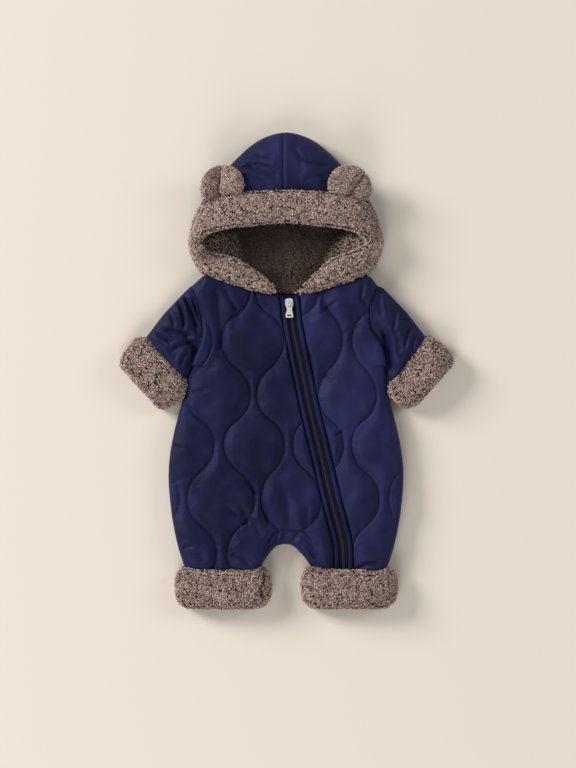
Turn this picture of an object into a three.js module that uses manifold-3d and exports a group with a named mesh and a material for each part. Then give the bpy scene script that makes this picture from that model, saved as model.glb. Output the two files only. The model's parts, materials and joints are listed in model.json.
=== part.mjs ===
// Padded baby snowsuit laid flat on its back, in millimetres, +Z up.
// The hood lies towards +Y and the front of the garment faces +Z.
// Left and right in the names are the wearer's, so "right" lies at -X.

import * as THREE from 'three'
import Module from 'manifold-3d'

// Driving sizes
const BACK_TOP = 12.7 // upper face of the back panel, where the front lies on it
const FRONT_UNDER = 13.0 // plane under the front panels
const EDGE_TOP = 14.8 // thin edge of a front panel at a side seam
const PADDING_TOP = 22.5 // bottom of a quilting groove
const PUFF = 6.0 // rise of the padding between two stitch lines
const CHANNEL_TOP = 20.0 // compressed padding under the zip band
const SEAM_GAP = 0.3
const LEG_TOP_Y = -277 // where the leg cuffs are sewn on
const CUFF_END_Y = -333
const SHELL_THICK = 2.5
const LINING_THICK = 3.0
const TRIM_HALF = 5.5 // half the thickness of the fleece band round the face
const POLE = [-3.5, 165] // centre of the hood's polar grids, on its centre seam
const ZIP_HALF_TAPE = 6.0
const ZIP_BAND_HALF = 14.2
const PLACKET_HEIGHT = 4.5
const TAB_LENGTH = 18.5

// Small helpers
const clamp = (x, a, b) => Math.min(Math.max(x, a), b)
const lerp = (a, b, t) => a + (b - a) * t
const smooth = (a, b, x) => {
  const t = clamp((x - a) / (b - a), 0, 1)
  return t * t * (3 - 2 * t)
}
const dome = (t, p = 2) => Math.pow(Math.max(0, 1 - Math.pow(1 - clamp(t, 0, 1), p)), 1 / p)

// A smooth function through [key, value] rows, straight beyond its ends when asked.
function table(rows, straight = false) {
  const r = [...rows].sort((a, b) => a[0] - b[0])
  const n = r.length
  const slope = i => {
    if (i === 0) return (r[1][1] - r[0][1]) / (r[1][0] - r[0][0])
    if (i === n - 1) return (r[n - 1][1] - r[n - 2][1]) / (r[n - 1][0] - r[n - 2][0])
    return (r[i + 1][1] - r[i - 1][1]) / (r[i + 1][0] - r[i - 1][0])
  }
  return x => {
    if (x <= r[0][0]) return r[0][1]
    if (x >= r[n - 1][0]) return r[n - 1][1]
    let i = 0
    while (x > r[i + 1][0]) i++
    const h = r[i + 1][0] - r[i][0]
    const t = (x - r[i][0]) / h
    if (straight) return lerp(r[i][1], r[i + 1][1], t)
    const a = 2 * t * t * t - 3 * t * t + 1
    const b = t * t * t - 2 * t * t + t
    const c = -2 * t * t * t + 3 * t * t
    const d = t * t * t - t * t
    return a * r[i][1] + b * h * slope(i) + c * r[i + 1][1] + d * h * slope(i + 1)
  }
}

// A closed curve through [x, y, z] points, looked up by its angle about POLE.
function polar(points) {
  const n = points.length
  const out = []
  for (let i = 0; i < n; i++) {
    const [p0, p1, p2, p3] = [-1, 0, 1, 2].map(k => points[(i + k + n) % n])
    for (let s = 0; s < 24; s++) {
      const t = s / 24
      const q = [0, 1, 2].map(k => 0.5 * (2 * p1[k] + (p2[k] - p0[k]) * t
        + (2 * p0[k] - 5 * p1[k] + 4 * p2[k] - p3[k]) * t * t
        + (3 * p1[k] - 3 * p2[k] + p3[k] - p0[k]) * t * t * t))
      const a = Math.atan2(q[1] - POLE[1], q[0] - POLE[0])
      out.push([a, Math.hypot(q[0] - POLE[0], q[1] - POLE[1]), q[2]])
    }
  }
  out.sort((a, b) => a[0] - b[0])
  const wrap = [[out[out.length - 1][0] - 2 * Math.PI, ...out[out.length - 1].slice(1)], ...out,
    [out[0][0] + 2 * Math.PI, ...out[0].slice(1)]]
  return angle => {
    const a = Math.atan2(Math.sin(angle), Math.cos(angle))
    let lo = 0
    let hi = wrap.length - 1
    while (hi - lo > 1) {
      const mid = (lo + hi) >> 1
      if (wrap[mid][0] <= a) lo = mid
      else hi = mid
    }
    const t = (a - wrap[lo][0]) / Math.max(1e-9, wrap[hi][0] - wrap[lo][0])
    return { r: lerp(wrap[lo][1], wrap[hi][1], t), z: lerp(wrap[lo][2], wrap[hi][2], t) }
  }
}

// Collects triangles, merges equal points and turns the faces outwards.
function geometryOf(triangles) {
  const index = new Map()
  const points = []
  const id = p => {
    const key = p.map(v => Math.round(v * 500)).join(' ')
    if (!index.has(key)) {
      index.set(key, points.length)
      points.push(p)
    }
    return index.get(key)
  }
  const faces = []
  for (const tri of triangles) {
    const f = tri.map(id)
    if (f[0] !== f[1] && f[1] !== f[2] && f[0] !== f[2]) faces.push(f)
  }
  let volume = 0
  for (const [a, b, c] of faces) {
    const [p, q, r] = [points[a], points[b], points[c]]
    volume += p[0] * (q[1] * r[2] - q[2] * r[1]) + p[1] * (q[2] * r[0] - q[0] * r[2])
      + p[2] * (q[0] * r[1] - q[1] * r[0])
  }
  const flat = volume < 0 ? faces.flatMap(f => [f[0], f[2], f[1]]) : faces.flat()
  const g = new THREE.BufferGeometry()
  g.setAttribute('position', new THREE.Float32BufferAttribute(points.flat(), 3))
  g.setIndex(flat)
  g.computeVertexNormals()
  return g
}

// Two triangles for each cell of a grid of points.
function gridFaces(rows, flip) {
  const out = []
  for (let i = 0; i + 1 < rows.length; i++) {
    for (let j = 0; j + 1 < rows[i].length; j++) {
      const [a, b, c, d] = [rows[i][j], rows[i][j + 1], rows[i + 1][j + 1], rows[i + 1][j]]
      if (flip) out.push([a, c, b], [a, d, c])
      else out.push([a, b, c], [a, c, d])
    }
  }
  return out
}

// Joins two border lines that may have different numbers of points.
function zipper(a, b, flip) {
  const out = []
  let i = 0
  let j = 0
  while (i < a.length - 1 || j < b.length - 1) {
    const behind = (i + 1) / (a.length - 1) <= (j + 1) / (b.length - 1)
    const ahead = j === b.length - 1 || (i < a.length - 1 && behind)
    const tri = ahead ? [a[i], b[j], a[i + 1]] : [a[i], b[j], b[j + 1]]
    out.push(flip ? [tri[0], tri[2], tri[1]] : tri)
    if (ahead) i++
    else j++
  }
  return out
}

// A wall between two grids of points: their four borders are joined.
function wall(outer, inner) {
  const side = g => [
    g[0],
    g.map(row => row[row.length - 1]),
    [...g[g.length - 1]].reverse(),
    g.map(row => row[0]).reverse(),
  ]
  const [o, n] = [side(outer), side(inner)]
  const out = [...gridFaces(outer, false), ...gridFaces(inner, true)]
  for (let k = 0; k < 4; k++) out.push(...zipper(o[k], n[k], false))
  return geometryOf(out)
}

// A solid from rings of points: closed at both ends, or joined end to start.
function ringSolid(rings, joined) {
  const closed = rings.map(r => [...r, r[0]])
  const out = gridFaces(joined ? [...closed, closed[0]] : closed, false)
  if (!joined) {
    for (const [ring, flip] of [[rings[0], false], [rings[rings.length - 1], true]]) {
      const mid = [0, 1, 2].map(k => ring.reduce((s, p) => s + p[k], 0) / ring.length)
      ring.forEach((p, i) => {
        const q = ring[(i + 1) % ring.length]
        out.push(flip ? [mid, p, q] : [mid, q, p])
      })
    }
  }
  return geometryOf(out)
}

// Outline of the body: x of both sides by y, top and bottom edges by x
const SIDE_SHARED = [[-74, 153.6], [-93, 158], [-119, 162.6], [-140, 164.4], [-162, 164.3], [-193, 161.4],
  [-209, 159.3], [-245, 152], [-277, 142]]
const sideRight = table([[118, -131.6], [91, -124], [67, -118], [43, -118], [16, -128], [4, -132],
  [-8, -137.5], [-29, -140.5], [-44, -145], ...SIDE_SHARED.map(([y, x]) => [y, -x])])
const sideLeft = table([[119, 127.5], [91, 118], [60, 118], [43, 129], [26, 137], [-6, 141], [-29, 142],
  [-44, 145.5], ...SIDE_SHARED])
const topFront = table([[-131.6, 118], [-122, 126.5], [-114, 134], [-91, 125.5], [-61, 116], [-42, 109.5],
  [-12.5, 105.5], [4, 104.5], [22, 106], [42, 109.5], [61, 116], [91, 125.2], [114, 133.6], [122, 126.5],
  [127.5, 119]], true)
const neckBack = x => 127 + 7 * Math.min(1, (x / 114) ** 2)
const topBack = x => (Math.abs(x) > 114 ? topFront(x)
  : neckBack(x) - 0.7 - 2.4 * smooth(80, 104, Math.abs(x)))
const crotch = table([[-36, LEG_TOP_Y], [-34.8, -274.5], [-25.5, -260.2], [-16.2, -248.9], [-6.9, -244.6],
  [1, -244], [9.3, -246.3], [18.6, -254.4], [27.9, -264.9], [34, -274], [35.5, LEG_TOP_Y]])
const bottom = x => (x <= -36 || x >= 35.5 ? LEG_TOP_Y : crotch(x))
const zipX = table([[105, 4], [98, 5.6], [70, 8.4], [38, 14.4], [-10, 24.4], [-53, 33.3], [-118, 49],
  [-178, 63], [-218, 73.5], [-244, 79.5], [-277, 80.5]])
const zipSlant = y => Math.hypot(1, (zipX(y + 2) - zipX(y - 2)) / 4)

// The wavy stitch lines: y of the rows where they turn, and the x of each line's turns.
// From one turn to the next a line follows two equal arcs, so the puffs between lines are nearly round.
const TURN_Y = [112, 42, -36, -104, -180, -257, -333]
const MIDDLE_LINE = [45, 6, 43, 9.3, 49, 12, 48]
const LINES_RIGHT = [
  [-138, -103.5, -139, -100.9, -138.1, -97.4, -138],
  [-50, -90.1, -49.9, -87, -44, -82.4, -44],
  [-43, -3, -41.2, -2.3, -34.8, 3, -34],
  MIDDLE_LINE,
]
const LINES_LEFT = [
  MIDDLE_LINE,
  [50.5, 78.7, 45.2, 80.2, 50, 82, 50],
  [126, 92, 126.2, 91.8, 130, 93, 130],
  [140, 172, 139, 172, 144, 175, 144],
]
const lineX = (turns, y) => {
  let i = 0
  while (i < TURN_Y.length - 2 && y < TURN_Y[i + 1]) i++
  const drop = TURN_Y[i] - TURN_Y[i + 1]
  const swing = (turns[i + 1] - turns[i]) / 2
  const t = clamp((TURN_Y[i] - y) / drop, 0, 1)
  const radius = (drop * drop / 4 + swing * swing) / (2 * Math.abs(swing))
  const far = Math.min(t, 1 - t) * drop
  const off = Math.sign(swing) * (radius - Math.sqrt(radius * radius - far * far))
  return t < 0.5 ? turns[i] + off : turns[i + 1] - off
}

// Folds of the fronts and sleeves: start, end, half width and depth
const FOLDS = [
  { from: [-104, 116], to: [-97, 73], wide: 5, deep: 1.6 },
  { from: [-87, 116], to: [-66, 77], wide: 3.5, deep: 2.2 },
  { from: [-133, -32], to: [-113, -29], wide: 4, deep: 1.6 },
  { from: [-157, -105], to: [-143, -112], wide: 4, deep: 1.5 },
  { from: [-145, -248], to: [-130, -249], wide: 4, deep: 1.5 },
  { from: [50, 96], to: [75, 96], wide: 4, deep: 1.5 },
  { from: [110, 118], to: [105, 97], wide: 4, deep: 1.6 },
  { from: [-26, -188], to: [-21, -221], wide: 4, deep: 1.4 },
  { from: [4, -190], to: [7, -221], wide: 4, deep: 1.4 },
  { from: [32, -188], to: [25, -221], wide: 4, deep: 1.4 },
  { from: [-151, 101], to: [-143, 55], wide: 6, deep: 2.6 },
  { from: [-166, 62], to: [-122, 50], wide: 5, deep: 2.2 },
  { from: [-150, 22], to: [-128, 30], wide: 5, deep: 2 },
  { from: [141, 58], to: [146, -2], wide: 6, deep: 3 },
  { from: [160, 84], to: [150, 40], wide: 6, deep: 1.8 },
]
function foldDepth(x, y) {
  let sum = 0
  for (const { from, to, wide, deep } of FOLDS) {
    const [dx, dy] = [to[0] - from[0], to[1] - from[1]]
    const t = clamp(((x - from[0]) * dx + (y - from[1]) * dy) / (dx * dx + dy * dy), 0, 1)
    const d = Math.hypot(x - from[0] - t * dx, y - from[1] - t * dy)
    sum += deep * Math.exp(-((d / wide) ** 2))
  }
  return sum
}

// Height of a quilted front panel at a point
function frontHeight(x, y, lines, hand) {
  let near = 99
  for (const line of lines) {
    const slope = (lineX(line, y + 1) - lineX(line, y - 1)) / 2
    near = Math.min(near, Math.abs(x - lineX(line, y)) / Math.hypot(1, slope))
  }
  const plump = PADDING_TOP + PUFF * dome(near / 20, 2) - foldDepth(x, y)
  const side = hand < 0 ? x - sideRight(y) : sideLeft(y) - x
  const seam = y > 6
  const toSide = seam ? lerp(0.62, 1, dome(side / 9)) : dome(side / 24, 2.2)
  const toTop = Math.abs(x) > 114 ? dome((topFront(x) - y) / 18) : lerp(0.72, 1, dome((topFront(x) - y) / 10))
  const gap = y - bottom(x)
  const arch = Math.abs(x) < 40
  const toHem = arch ? dome(gap / 18) : lerp(0.55, 1, dome(gap / 9))
  const band = Math.abs(x - zipX(y)) / zipSlant(y)
  const full = lerp(EDGE_TOP, plump, Math.min(toSide, 1) * toTop * toHem)
  if (band < ZIP_BAND_HALF + 0.05) return Math.min(full, CHANNEL_TOP)
  return Math.min(full, lerp(CHANNEL_TOP + 2.2, 32, dome((band - ZIP_BAND_HALF) / 22, 1.6)))
}

// One y that fits the share v of the way down a column whose x depends on y
function rowY(xOf, top, low, v) {
  let [a, b] = [-285, 140]
  for (let i = 0; i < 34; i++) {
    const y = (a + b) / 2
    const x = xOf(y)
    if (y > top(x) + (low(x) - top(x)) * v) b = y
    else a = y
  }
  return (a + b) / 2
}

function frontPanel(hand) {
  const right = hand < 0
  const lines = right ? LINES_RIGHT : LINES_LEFT
  const zipEdge = y => zipX(y) + hand * 0.25
  const side = right ? sideRight : sideLeft
  const rails = y => {
    const slant = zipSlant(y)
    const near = [0, ZIP_BAND_HALF, ZIP_BAND_HALF + 1.6].map(d => zipX(y) + hand * Math.max(0.25, d * slant))
    const edge = side(y)
    const list = right ? [edge, edge + 3, edge + 9] : [near[0], near[1], near[2]]
    const lo = right ? edge + 12 : near[2] + 2
    const hi = right ? near[2] - 2 : edge - 12
    lines.forEach((line, k) => {
      const most = hi - 1.2 * (lines.length - 1 - k)
      list.push(Math.max(clamp(lineX(line, y), lo, most), lo + 1.2 * k))
    })
    return right ? [...list, near[2], near[1], near[0]] : [...list, edge - 9, edge - 3, edge]
  }
  const cells = right ? [1, 1, 3, 5, 5, 5, 3, 1, 1] : [1, 1, 2, 4, 5, 4, 2, 1, 1]
  const columns = []
  cells.forEach((n, k) => {
    for (let i = 0; i < n; i++) columns.push([k, i / n])
  })
  columns.push([cells.length - 1, 1])
  const at = (c, y) => {
    const r = rails(y)
    return lerp(r[c[0]], r[c[0] + 1], c[1])
  }
  const rowCount = 36
  const shares = [0, 0.008, 0.024]
  for (let i = 1; i < rowCount; i++) shares.push(0.024 + 0.952 * i / rowCount)
  shares.push(0.976, 0.992, 1)
  const outer = shares.map(v => columns.map(c => {
    const y = rowY(q => at(c, q), topFront, bottom, v)
    const x = at(c, y)
    return [x, y, frontHeight(x, y, lines, hand)]
  }))
  const inner = []
  for (const v of shares) {
    inner.push([0, 0.33, 0.67, 1].map(u => {
      const xOf = q => (right ? lerp(side(q), zipEdge(q), u) : lerp(zipEdge(q), side(q), u))
      const y = rowY(xOf, topFront, bottom, v)
      return [xOf(y), y, FRONT_UNDER]
    }))
  }
  return wall(outer, inner)
}

// The back lies on the surface: flat below, its edges rounded upwards.
function backPanel() {
  const inset = [0, 1.5, 4, 8, 13]
  const xOf = k => y => {
    const [l, r] = [sideRight(y), sideLeft(y)]
    if (k < 5) return l + inset[k]
    if (k > 13) return r - inset[18 - k]
    return lerp(l + 13, r - 13, (k - 4) / 10)
  }
  const middle = [0.1, 0.129, 0.158, 0.187, ...Array.from({ length: 13 }, (_, i) => 0.216 + i * 0.058)]
  const shares = [0, 0.004, 0.012, 0.024, 0.045, 0.07, ...middle, 0.95, 0.97, 0.982, 0.992, 1]
  const cell = (k, v, height) => {
    const y = rowY(xOf(k), topBack, bottom, v)
    const x = xOf(k)(y)
    return [x, y, height(x, y)]
  }
  const round = (d, radius) => 1 - dome(d / radius)
  const under = (x, y) => {
    const d = Math.min(x - sideRight(y), sideLeft(y) - x)
    let lift = 11 * round(d, y > 6 ? 3 : 12)
    if (Math.abs(x) > 114) lift = Math.max(lift, 11 * round(topBack(x) - y, 12))
    if (Math.abs(x) < 40) lift = Math.max(lift, 11 * round(y - bottom(x), 12))
    return Math.max(0, lift)
  }
  const over = (x, y) => (Math.abs(x) > 118 ? BACK_TOP
    : lerp(SHELL_THICK, BACK_TOP, smooth(0, 18, topBack(x) - y + 9 * smooth(106, 118, Math.abs(x)))))
  const lower = shares.map(v => Array.from({ length: 19 }, (_, k) => cell(k, v, under)))
  const upper = shares.map(v => Array.from({ length: 19 }, (_, k) => cell(k, v, over)))
  return wall(lower, upper)
}

// A sleeve is a flattened tube between the armhole and the cuff.
// edges: outer and inner side lines, each from armhole to cuff.
function sleeve(hand) {
  const right = hand < 0
  const hole = right
    ? table([[118, -133.2], [91, -125.7], [67, -119.7], [43, -119.7], [16, -129.6], [4, -133.2]])
    : table([[118.5, 128.4], [91, 119], [60, 119.8], [43, 130.8], [26, 138], [-4, 141.8]])
  const low = right ? 4 : -4
  const outerSide = [[right ? 133.2 : 128.4, 118], [150, 101], [170, 80], [183, 63], [197, 44.5]]
  const cuffLine = right ? [[-196.6, 43.4], [-141.6, -15.6]] : [[196.4, 43.8], [147, -19.4]]
  const steps = 9
  const across = 13
  const armhole = c => [hole(lerp(118, low, c)), lerp(118, low, c)]
  const side = s => {
    const k = clamp(s * 4, 0, 3.9999)
    const i = Math.floor(k)
    const [a, b] = [outerSide[i], outerSide[i + 1]]
    return [hand * lerp(a[0], b[0], k - i), lerp(a[1], b[1], k - i)]
  }
  const point = (s, c) => {
    const [a, b] = [armhole(c), [0, 1].map(k => lerp(cuffLine[0][k], cuffLine[1][k], c))]
    const straight = [0, 1].map(k => lerp(a[k], b[k], s))
    const top = [0, 1].map(k => lerp(armhole(0)[k], cuffLine[0][k], s))
    const want = side(s)
    return [0, 1].map(k => straight[k] + (want[k] - top[k]) * (1 - c))
  }
  const ring = (s, level, inset) => {
    const pts = []
    for (const upper of [true, false]) {
      for (let i = 0; i < across; i++) {
        const t = i / across
        const c0 = 0.5 - 0.5 * Math.cos(Math.PI * (upper ? t : 1 - t))
        const c = lerp(inset, 1 - inset, c0)
        const [x, y] = point(s, c)
        pts.push([x, y, level(c, upper, x, y)])
      }
    }
    return pts
  }
  const outside = s => (c, upper, x, y) => {
    const e = Math.abs(2 * c - 1)
    if (!upper) return FRONT_UNDER * (1 - Math.pow(Math.max(0, 1 - Math.pow(e, 9)), 1 / 9))
    const high = lerp(26, 31, smooth(0, 0.35, s)) - 4 * smooth(0.85, 1, s)
    return FRONT_UNDER + (high - 13 - foldDepth(x, y)) * Math.pow(Math.max(0, 1 - Math.pow(e, 2.6)), 1 / 2.6)
  }
  const inside = (c, upper) => FRONT_UNDER + (upper ? 0.3 : -0.3) * (Math.abs(2 * c - 1) > 0.86 ? 0.5 : 1)
  const rings = []
  for (let i = 0; i <= steps; i++) rings.push(ring(i / steps, outside(i / steps), 0))
  for (let i = steps; i >= 0; i -= 3) rings.push(ring(i / steps, inside, 0.07))
  return ringSolid(rings, true)
}

// A fleece cuff: a thick flattened tube with rounded rims, its two sides nearly touching.
// a and b are the ends of its seam line, reach is its length away from that line.
function cuff(a, b, reach, swell, tall) {
  const along = [b[0] - a[0], b[1] - a[1]]
  const wide = Math.hypot(...along)
  const u = along.map(v => v / wide)
  const out = [u[1], -u[0]]
  const mid = [(a[0] + b[0]) / 2, (a[1] + b[1]) / 2]
  const ring = (v, half, top, low, count = 20) => Array.from({ length: count }, (_, i) => {
    const t = 2 * Math.PI * i / count
    const [cs, sn] = [Math.cos(t), Math.sin(t)]
    const q = Math.sign(cs) * Math.pow(Math.abs(cs), 0.72) * half
    const z = sn >= 0 ? FRONT_UNDER + (top - FRONT_UNDER) * Math.pow(sn, 0.8)
      : FRONT_UNDER - (FRONT_UNDER - low) * Math.pow(-sn, 0.34)
    return [mid[0] + u[0] * q + out[0] * v, mid[1] + u[1] * q + out[1] * v, z]
  })
  const h = wide / 2 + swell
  const rings = [
    ring(0.6, h - 14, 20, 5),
    ring(0.6, h - 9, 24, 1.5),
    ring(3, h - 3.5, tall - 5, 0),
    ring(9, h - 0.4, tall - 1, 0),
    ring(reach * 0.4, h, tall, 0),
    ring(reach * 0.68, h - 0.6, tall, 0),
    ring(reach * 0.87, h - 2.5, tall - 2.5, 0),
    ring(reach * 0.965, h - 6.5, tall - 8, 3),
    ring(reach, h - 12, tall - 14, 7),
    ring(reach * 0.95, h - 17, 15.5, 10.5),
    ring(reach * 0.8, h - 18, 14, 12),
    ring(reach * 0.3, h - 18, 14, 12),
    ring(3.5, h - 18, 14, 12),
  ]
  return ringSolid(rings, true)
}

// Hood: outlines as x, y, z of points round the pole, from the crown over the right side
function both(rows) {
  const side = rows.filter(p => Math.abs(p[0]) > 0.5)
  return [...rows, ...side.reverse().map(p => [-p[0], p[1], p[2]])]
}
const trimOuter = polar(both([[0, 249.6, 45], [-40, 248, 45], [-70, 245.5, 43], [-98, 241, 38],
  [-116, 233, 29], [-129, 212, 19], [-135, 185, 14], [-134.5, 165, 13], [-125, 145, 17],
  [-113.5, 133.5, 23], [-91, 126, 26], [-61, 116.5, 27], [-42, 110.5, 27], [-17, 106.3, 25]]))
const trimInner = polar([[0, 204.3, 44], [-45, 202, 44], [-80, 199, 43], [-105, 192, 41], [-117, 180, 38],
  [-108, 165, 35], [-88, 157, 34], [-66, 152, 34], [-42, 138, 32], [-25, 125, 29], [-11, 113, 26],
  [4, 108, 25], [19, 113, 26], [30, 124, 29], [44, 138, 32], [62, 152, 34], [82, 160, 34], [102, 168, 35],
  [112, 179, 38], [102, 190, 41], [80, 198, 43], [45, 202, 44]])
const hoodOuter = polar(both([[0, 333, 14], [-27, 327, 14], [-48, 315, 14], [-65, 300, 14], [-77, 288, 14],
  [-95, 268, 14], [-108, 250, 13], [-117, 233, 11], [-123, 212, 9], [-127, 185, 7], [-126, 165, 7],
  [-119, 146, 6], [-113, 134, 3], [-80, 130.4, 2], [-40, 127.9, 2], [0, 127, 2]]))
const isNeck = (angle, from = 1.24, to = 1.40) => {
  const a = Math.atan2(Math.sin(angle + Math.PI / 2), Math.cos(angle + Math.PI / 2))
  return 1 - smooth(from, to, Math.abs(a))
}

// The fleece band's middle line at one angle: from its outer end to its inner end.
function band(angle) {
  const [o, i] = [trimOuter(angle), trimInner(angle)]
  const half = Math.min(TRIM_HALF, (o.r - i.r) * 0.3 + Math.abs(o.z - i.z) * 0.2)
  const from = [o.r - half, o.z]
  const to = [i.r + half, i.z]
  const len = Math.hypot(to[0] - from[0], to[1] - from[1])
  const t = [(to[0] - from[0]) / len, (to[1] - from[1]) / len]
  const n = [-t[1], t[0]].map(v => -v)
  if (n[1] < 0 || (Math.abs(n[1]) < 1e-6 && n[0] < 0)) n.forEach((v, k) => { n[k] = -v })
  const rise = 0.12 * len
  const at = f => [0, 1].map(k => lerp(from[k], to[k], f) + n[k] * rise * 4 * f * (1 - f))
  return { from, to, t, n, half, at }
}
const place = (angle, r, z) => [POLE[0] + r * Math.cos(angle), POLE[1] + r * Math.sin(angle), z]

function trim() {
  const start = -70.5 * Math.PI / 180
  const end = 260.5 * Math.PI / 180
  const count = 48
  const rings = []
  for (let i = 0; i <= count; i++) {
    const angle = lerp(start, end, i / count)
    const b = band(angle)
    const taper = 0.45 + 0.55 * dome(Math.min(i, count - i) / 3)
    const h = b.half * taper
    const pts = []
    for (const f of [0, 0.25, 0.5, 0.75, 1]) {
      const p = b.at(f)
      pts.push([p[0] + b.n[0] * h, p[1] + b.n[1] * h])
    }
    pts.push([b.to[0] + b.t[0] * b.half, b.to[1] + b.t[1] * b.half])
    for (const f of [1, 0.75, 0.5, 0.25, 0]) {
      const p = b.at(f)
      pts.push([p[0] - b.n[0] * h, p[1] - b.n[1] * h])
    }
    pts.push([b.from[0] - b.t[0] * b.half, b.from[1] - b.t[1] * b.half])
    rings.push(pts.map(([r, z]) => place(angle, r, z)))
  }
  return ringSolid(rings, false)
}

const bezier = (a, b, c, d, t) => [0, 1].map(k => (1 - t) ** 3 * a[k] + 3 * (1 - t) ** 2 * t * b[k]
  + 3 * (1 - t) * t * t * c[k] + t ** 3 * d[k])

// Middle line of the hood's shell at one angle: face edge, outline, then under to the pole.
function shellLine(angle) {
  const b = band(angle)
  const neck = isNeck(angle)
  const o = hoodOuter(angle)
  const edge = [b.from[0] - b.t[0] * (b.half + 1.2), b.from[1] - b.t[1] * (b.half + 1.2)]
  const half = SHELL_THICK / 2
  const flatEdge = [o.r - 0.2, half]
  const m = [lerp(edge[0], flatEdge[0], neck), lerp(Math.max(edge[1], 7), flatEdge[1], neck)]
  const far = lerp(Math.max(o.r - half, m[0] + 0.6), o.r - 10, neck)
  const high = Math.min(lerp(Math.min(o.z, m[1] - 0.6), half, neck), m[1])
  const q = [far, Math.max(high, half)]
  const len = Math.hypot(q[0] - m[0], q[1] - m[1])
  const out = []
  const early = len * 0.5 * (1 - neck)
  const lead = [m[0] - b.t[0] * early - len * 0.33 * neck, m[1] - b.t[1] * early]
  const reach = [q[0] + len * 0.33 * neck, q[1] + Math.min(len * 0.4, 16) * (1 - neck)]
  for (let i = 0; i <= 6; i++) out.push(bezier(m, lead, reach, q, i / 6))
  const roll = lerp(Math.min(13, q[1] * 1.3), 8, neck)
  for (let i = 1; i <= 3; i++) {
    out.push(bezier(q, [q[0], lerp(q[1], half, 0.6)], [q[0] - roll * 0.4, half], [q[0] - roll, half], i / 3))
  }
  out.push([out[9][0] * 0.5, half], [0, half])
  return out
}
function offsetLine(line, d) {
  return line.map((p, i) => {
    const [a, b] = [line[Math.max(0, i - 1)], line[Math.min(line.length - 1, i + 1)]]
    const len = Math.hypot(b[0] - a[0], b[1] - a[1]) || 1
    const n = [-(b[1] - a[1]) / len, (b[0] - a[0]) / len]
    if (i >= line.length - 2) return [p[0], p[1] - d]
    return [p[0] + n[0] * d, p[1] + n[1] * d]
  })
}

function hoodHalf(hand) {
  const right = hand < 0
  const [a, b] = right ? [90, 270] : [-90, 90]
  const count = 22
  const [outer, inner] = [[], []]
  for (let i = 0; i <= count; i++) {
    const angle = lerp(a, b, i / count) * Math.PI / 180
    const line = shellLine(angle)
    const shift = p => [p[0] + hand * 0.2, p[1], p[2]]
    outer.push(offsetLine(line, SHELL_THICK / 2).map(([r, z]) => shift(place(angle, r, Math.max(z, 0)))))
    inner.push(offsetLine(line, -SHELL_THICK / 2).map(([r, z]) => shift(place(angle, r, z))))
  }
  return wall(outer, inner)
}

// Middle line of the hood's lining at one angle: rim under the band, side, then floor.
function liningLine(angle) {
  const b = band(angle)
  const neck = isNeck(angle, 1.17, 1.31)
  const o = hoodOuter(angle)
  const d = b.half + 1.3 + LINING_THICK / 2 + 8 * neck * (1 - neck)
  const open = smooth(4, 40, o.r - b.from[0] - b.half)
  const rimSide = b.at(0.45).map((v, k) => v - b.n[k] * d)
  rimSide[1] = lerp(rimSide[1], b.from[1] - d - 0.8, open)
  const rimNeck = [trimOuter(angle).r - 2.2, 15.0]
  const rim = [0, 1].map(k => lerp(rimSide[k], rimNeck[k], neck))
  const under = LINING_THICK / 2 + SHELL_THICK + 0.5
  const low = [b.from[0] - 9, 9.5]
  const wide = [o.r - 5.2, 15]
  const turn = [0, 1].map(k => lerp(lerp(low[k], wide[k], open), [rimNeck[0] - 4, 15][k], neck))
  const roof = [b.from[0] + b.half + 2, b.from[1] - d - 0.2]
  const over = [roof[0] + (turn[0] - roof[0]) * 0.35, roof[1]]
  const lead = [0, 1].map(k => lerp(lerp(rim[k], turn[k], 0.4), over[k], open))
  const reach = [turn[0], turn[1] + 13 * open]
  const out = []
  for (let i = 0; i <= 5; i++) out.push(bezier(rim, lead, reach, turn, i / 5))
  const foot = [turn[0] - lerp(9, 2, neck), lerp(under, 15, neck)]
  const bend = [[turn[0], lerp(turn[1], foot[1], 0.7)], [lerp(turn[0], foot[0], 0.5), foot[1]]]
  out.push(bezier(turn, ...bend, foot, 0.5))
  out.push(foot)
  for (const f of [0.8, 0.6, 0.4, 0.2, 0]) out.push([foot[0] * f, under])
  return out.map(([r, z], i) => {
    if (i < 6) return [r, z]
    const [x, y] = place(angle, r, z)
    const floor = under + (15 - under) * smooth(0, 14, neckBack(x) + 4 - y)
    return [r, Math.max(z, Math.abs(x) < 112 ? floor : z)]
  })
}
function lining() {
  const count = 40
  const [outer, inner] = [[], []]
  for (let i = 0; i < count; i++) {
    const angle = 2 * Math.PI * i / count
    const line = liningLine(angle)
    outer.push(offsetLine(line, LINING_THICK / 2).map(([r, z]) => place(angle, r, z)))
    inner.push(offsetLine(line, -LINING_THICK / 2).map(([r, z]) => place(angle, r, z)))
  }
  const around = g => [...g, g[0]]
  const out = [...gridFaces(around(outer), false), ...gridFaces(around(inner), true)]
  for (let i = 0; i < count; i++) {
    const j = (i + 1) % count
    const [a, b, c, d] = [outer[i][0], outer[j][0], inner[j][0], inner[i][0]]
    out.push([a, b, c], [a, c, d])
  }
  return geometryOf(out)
}

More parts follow.
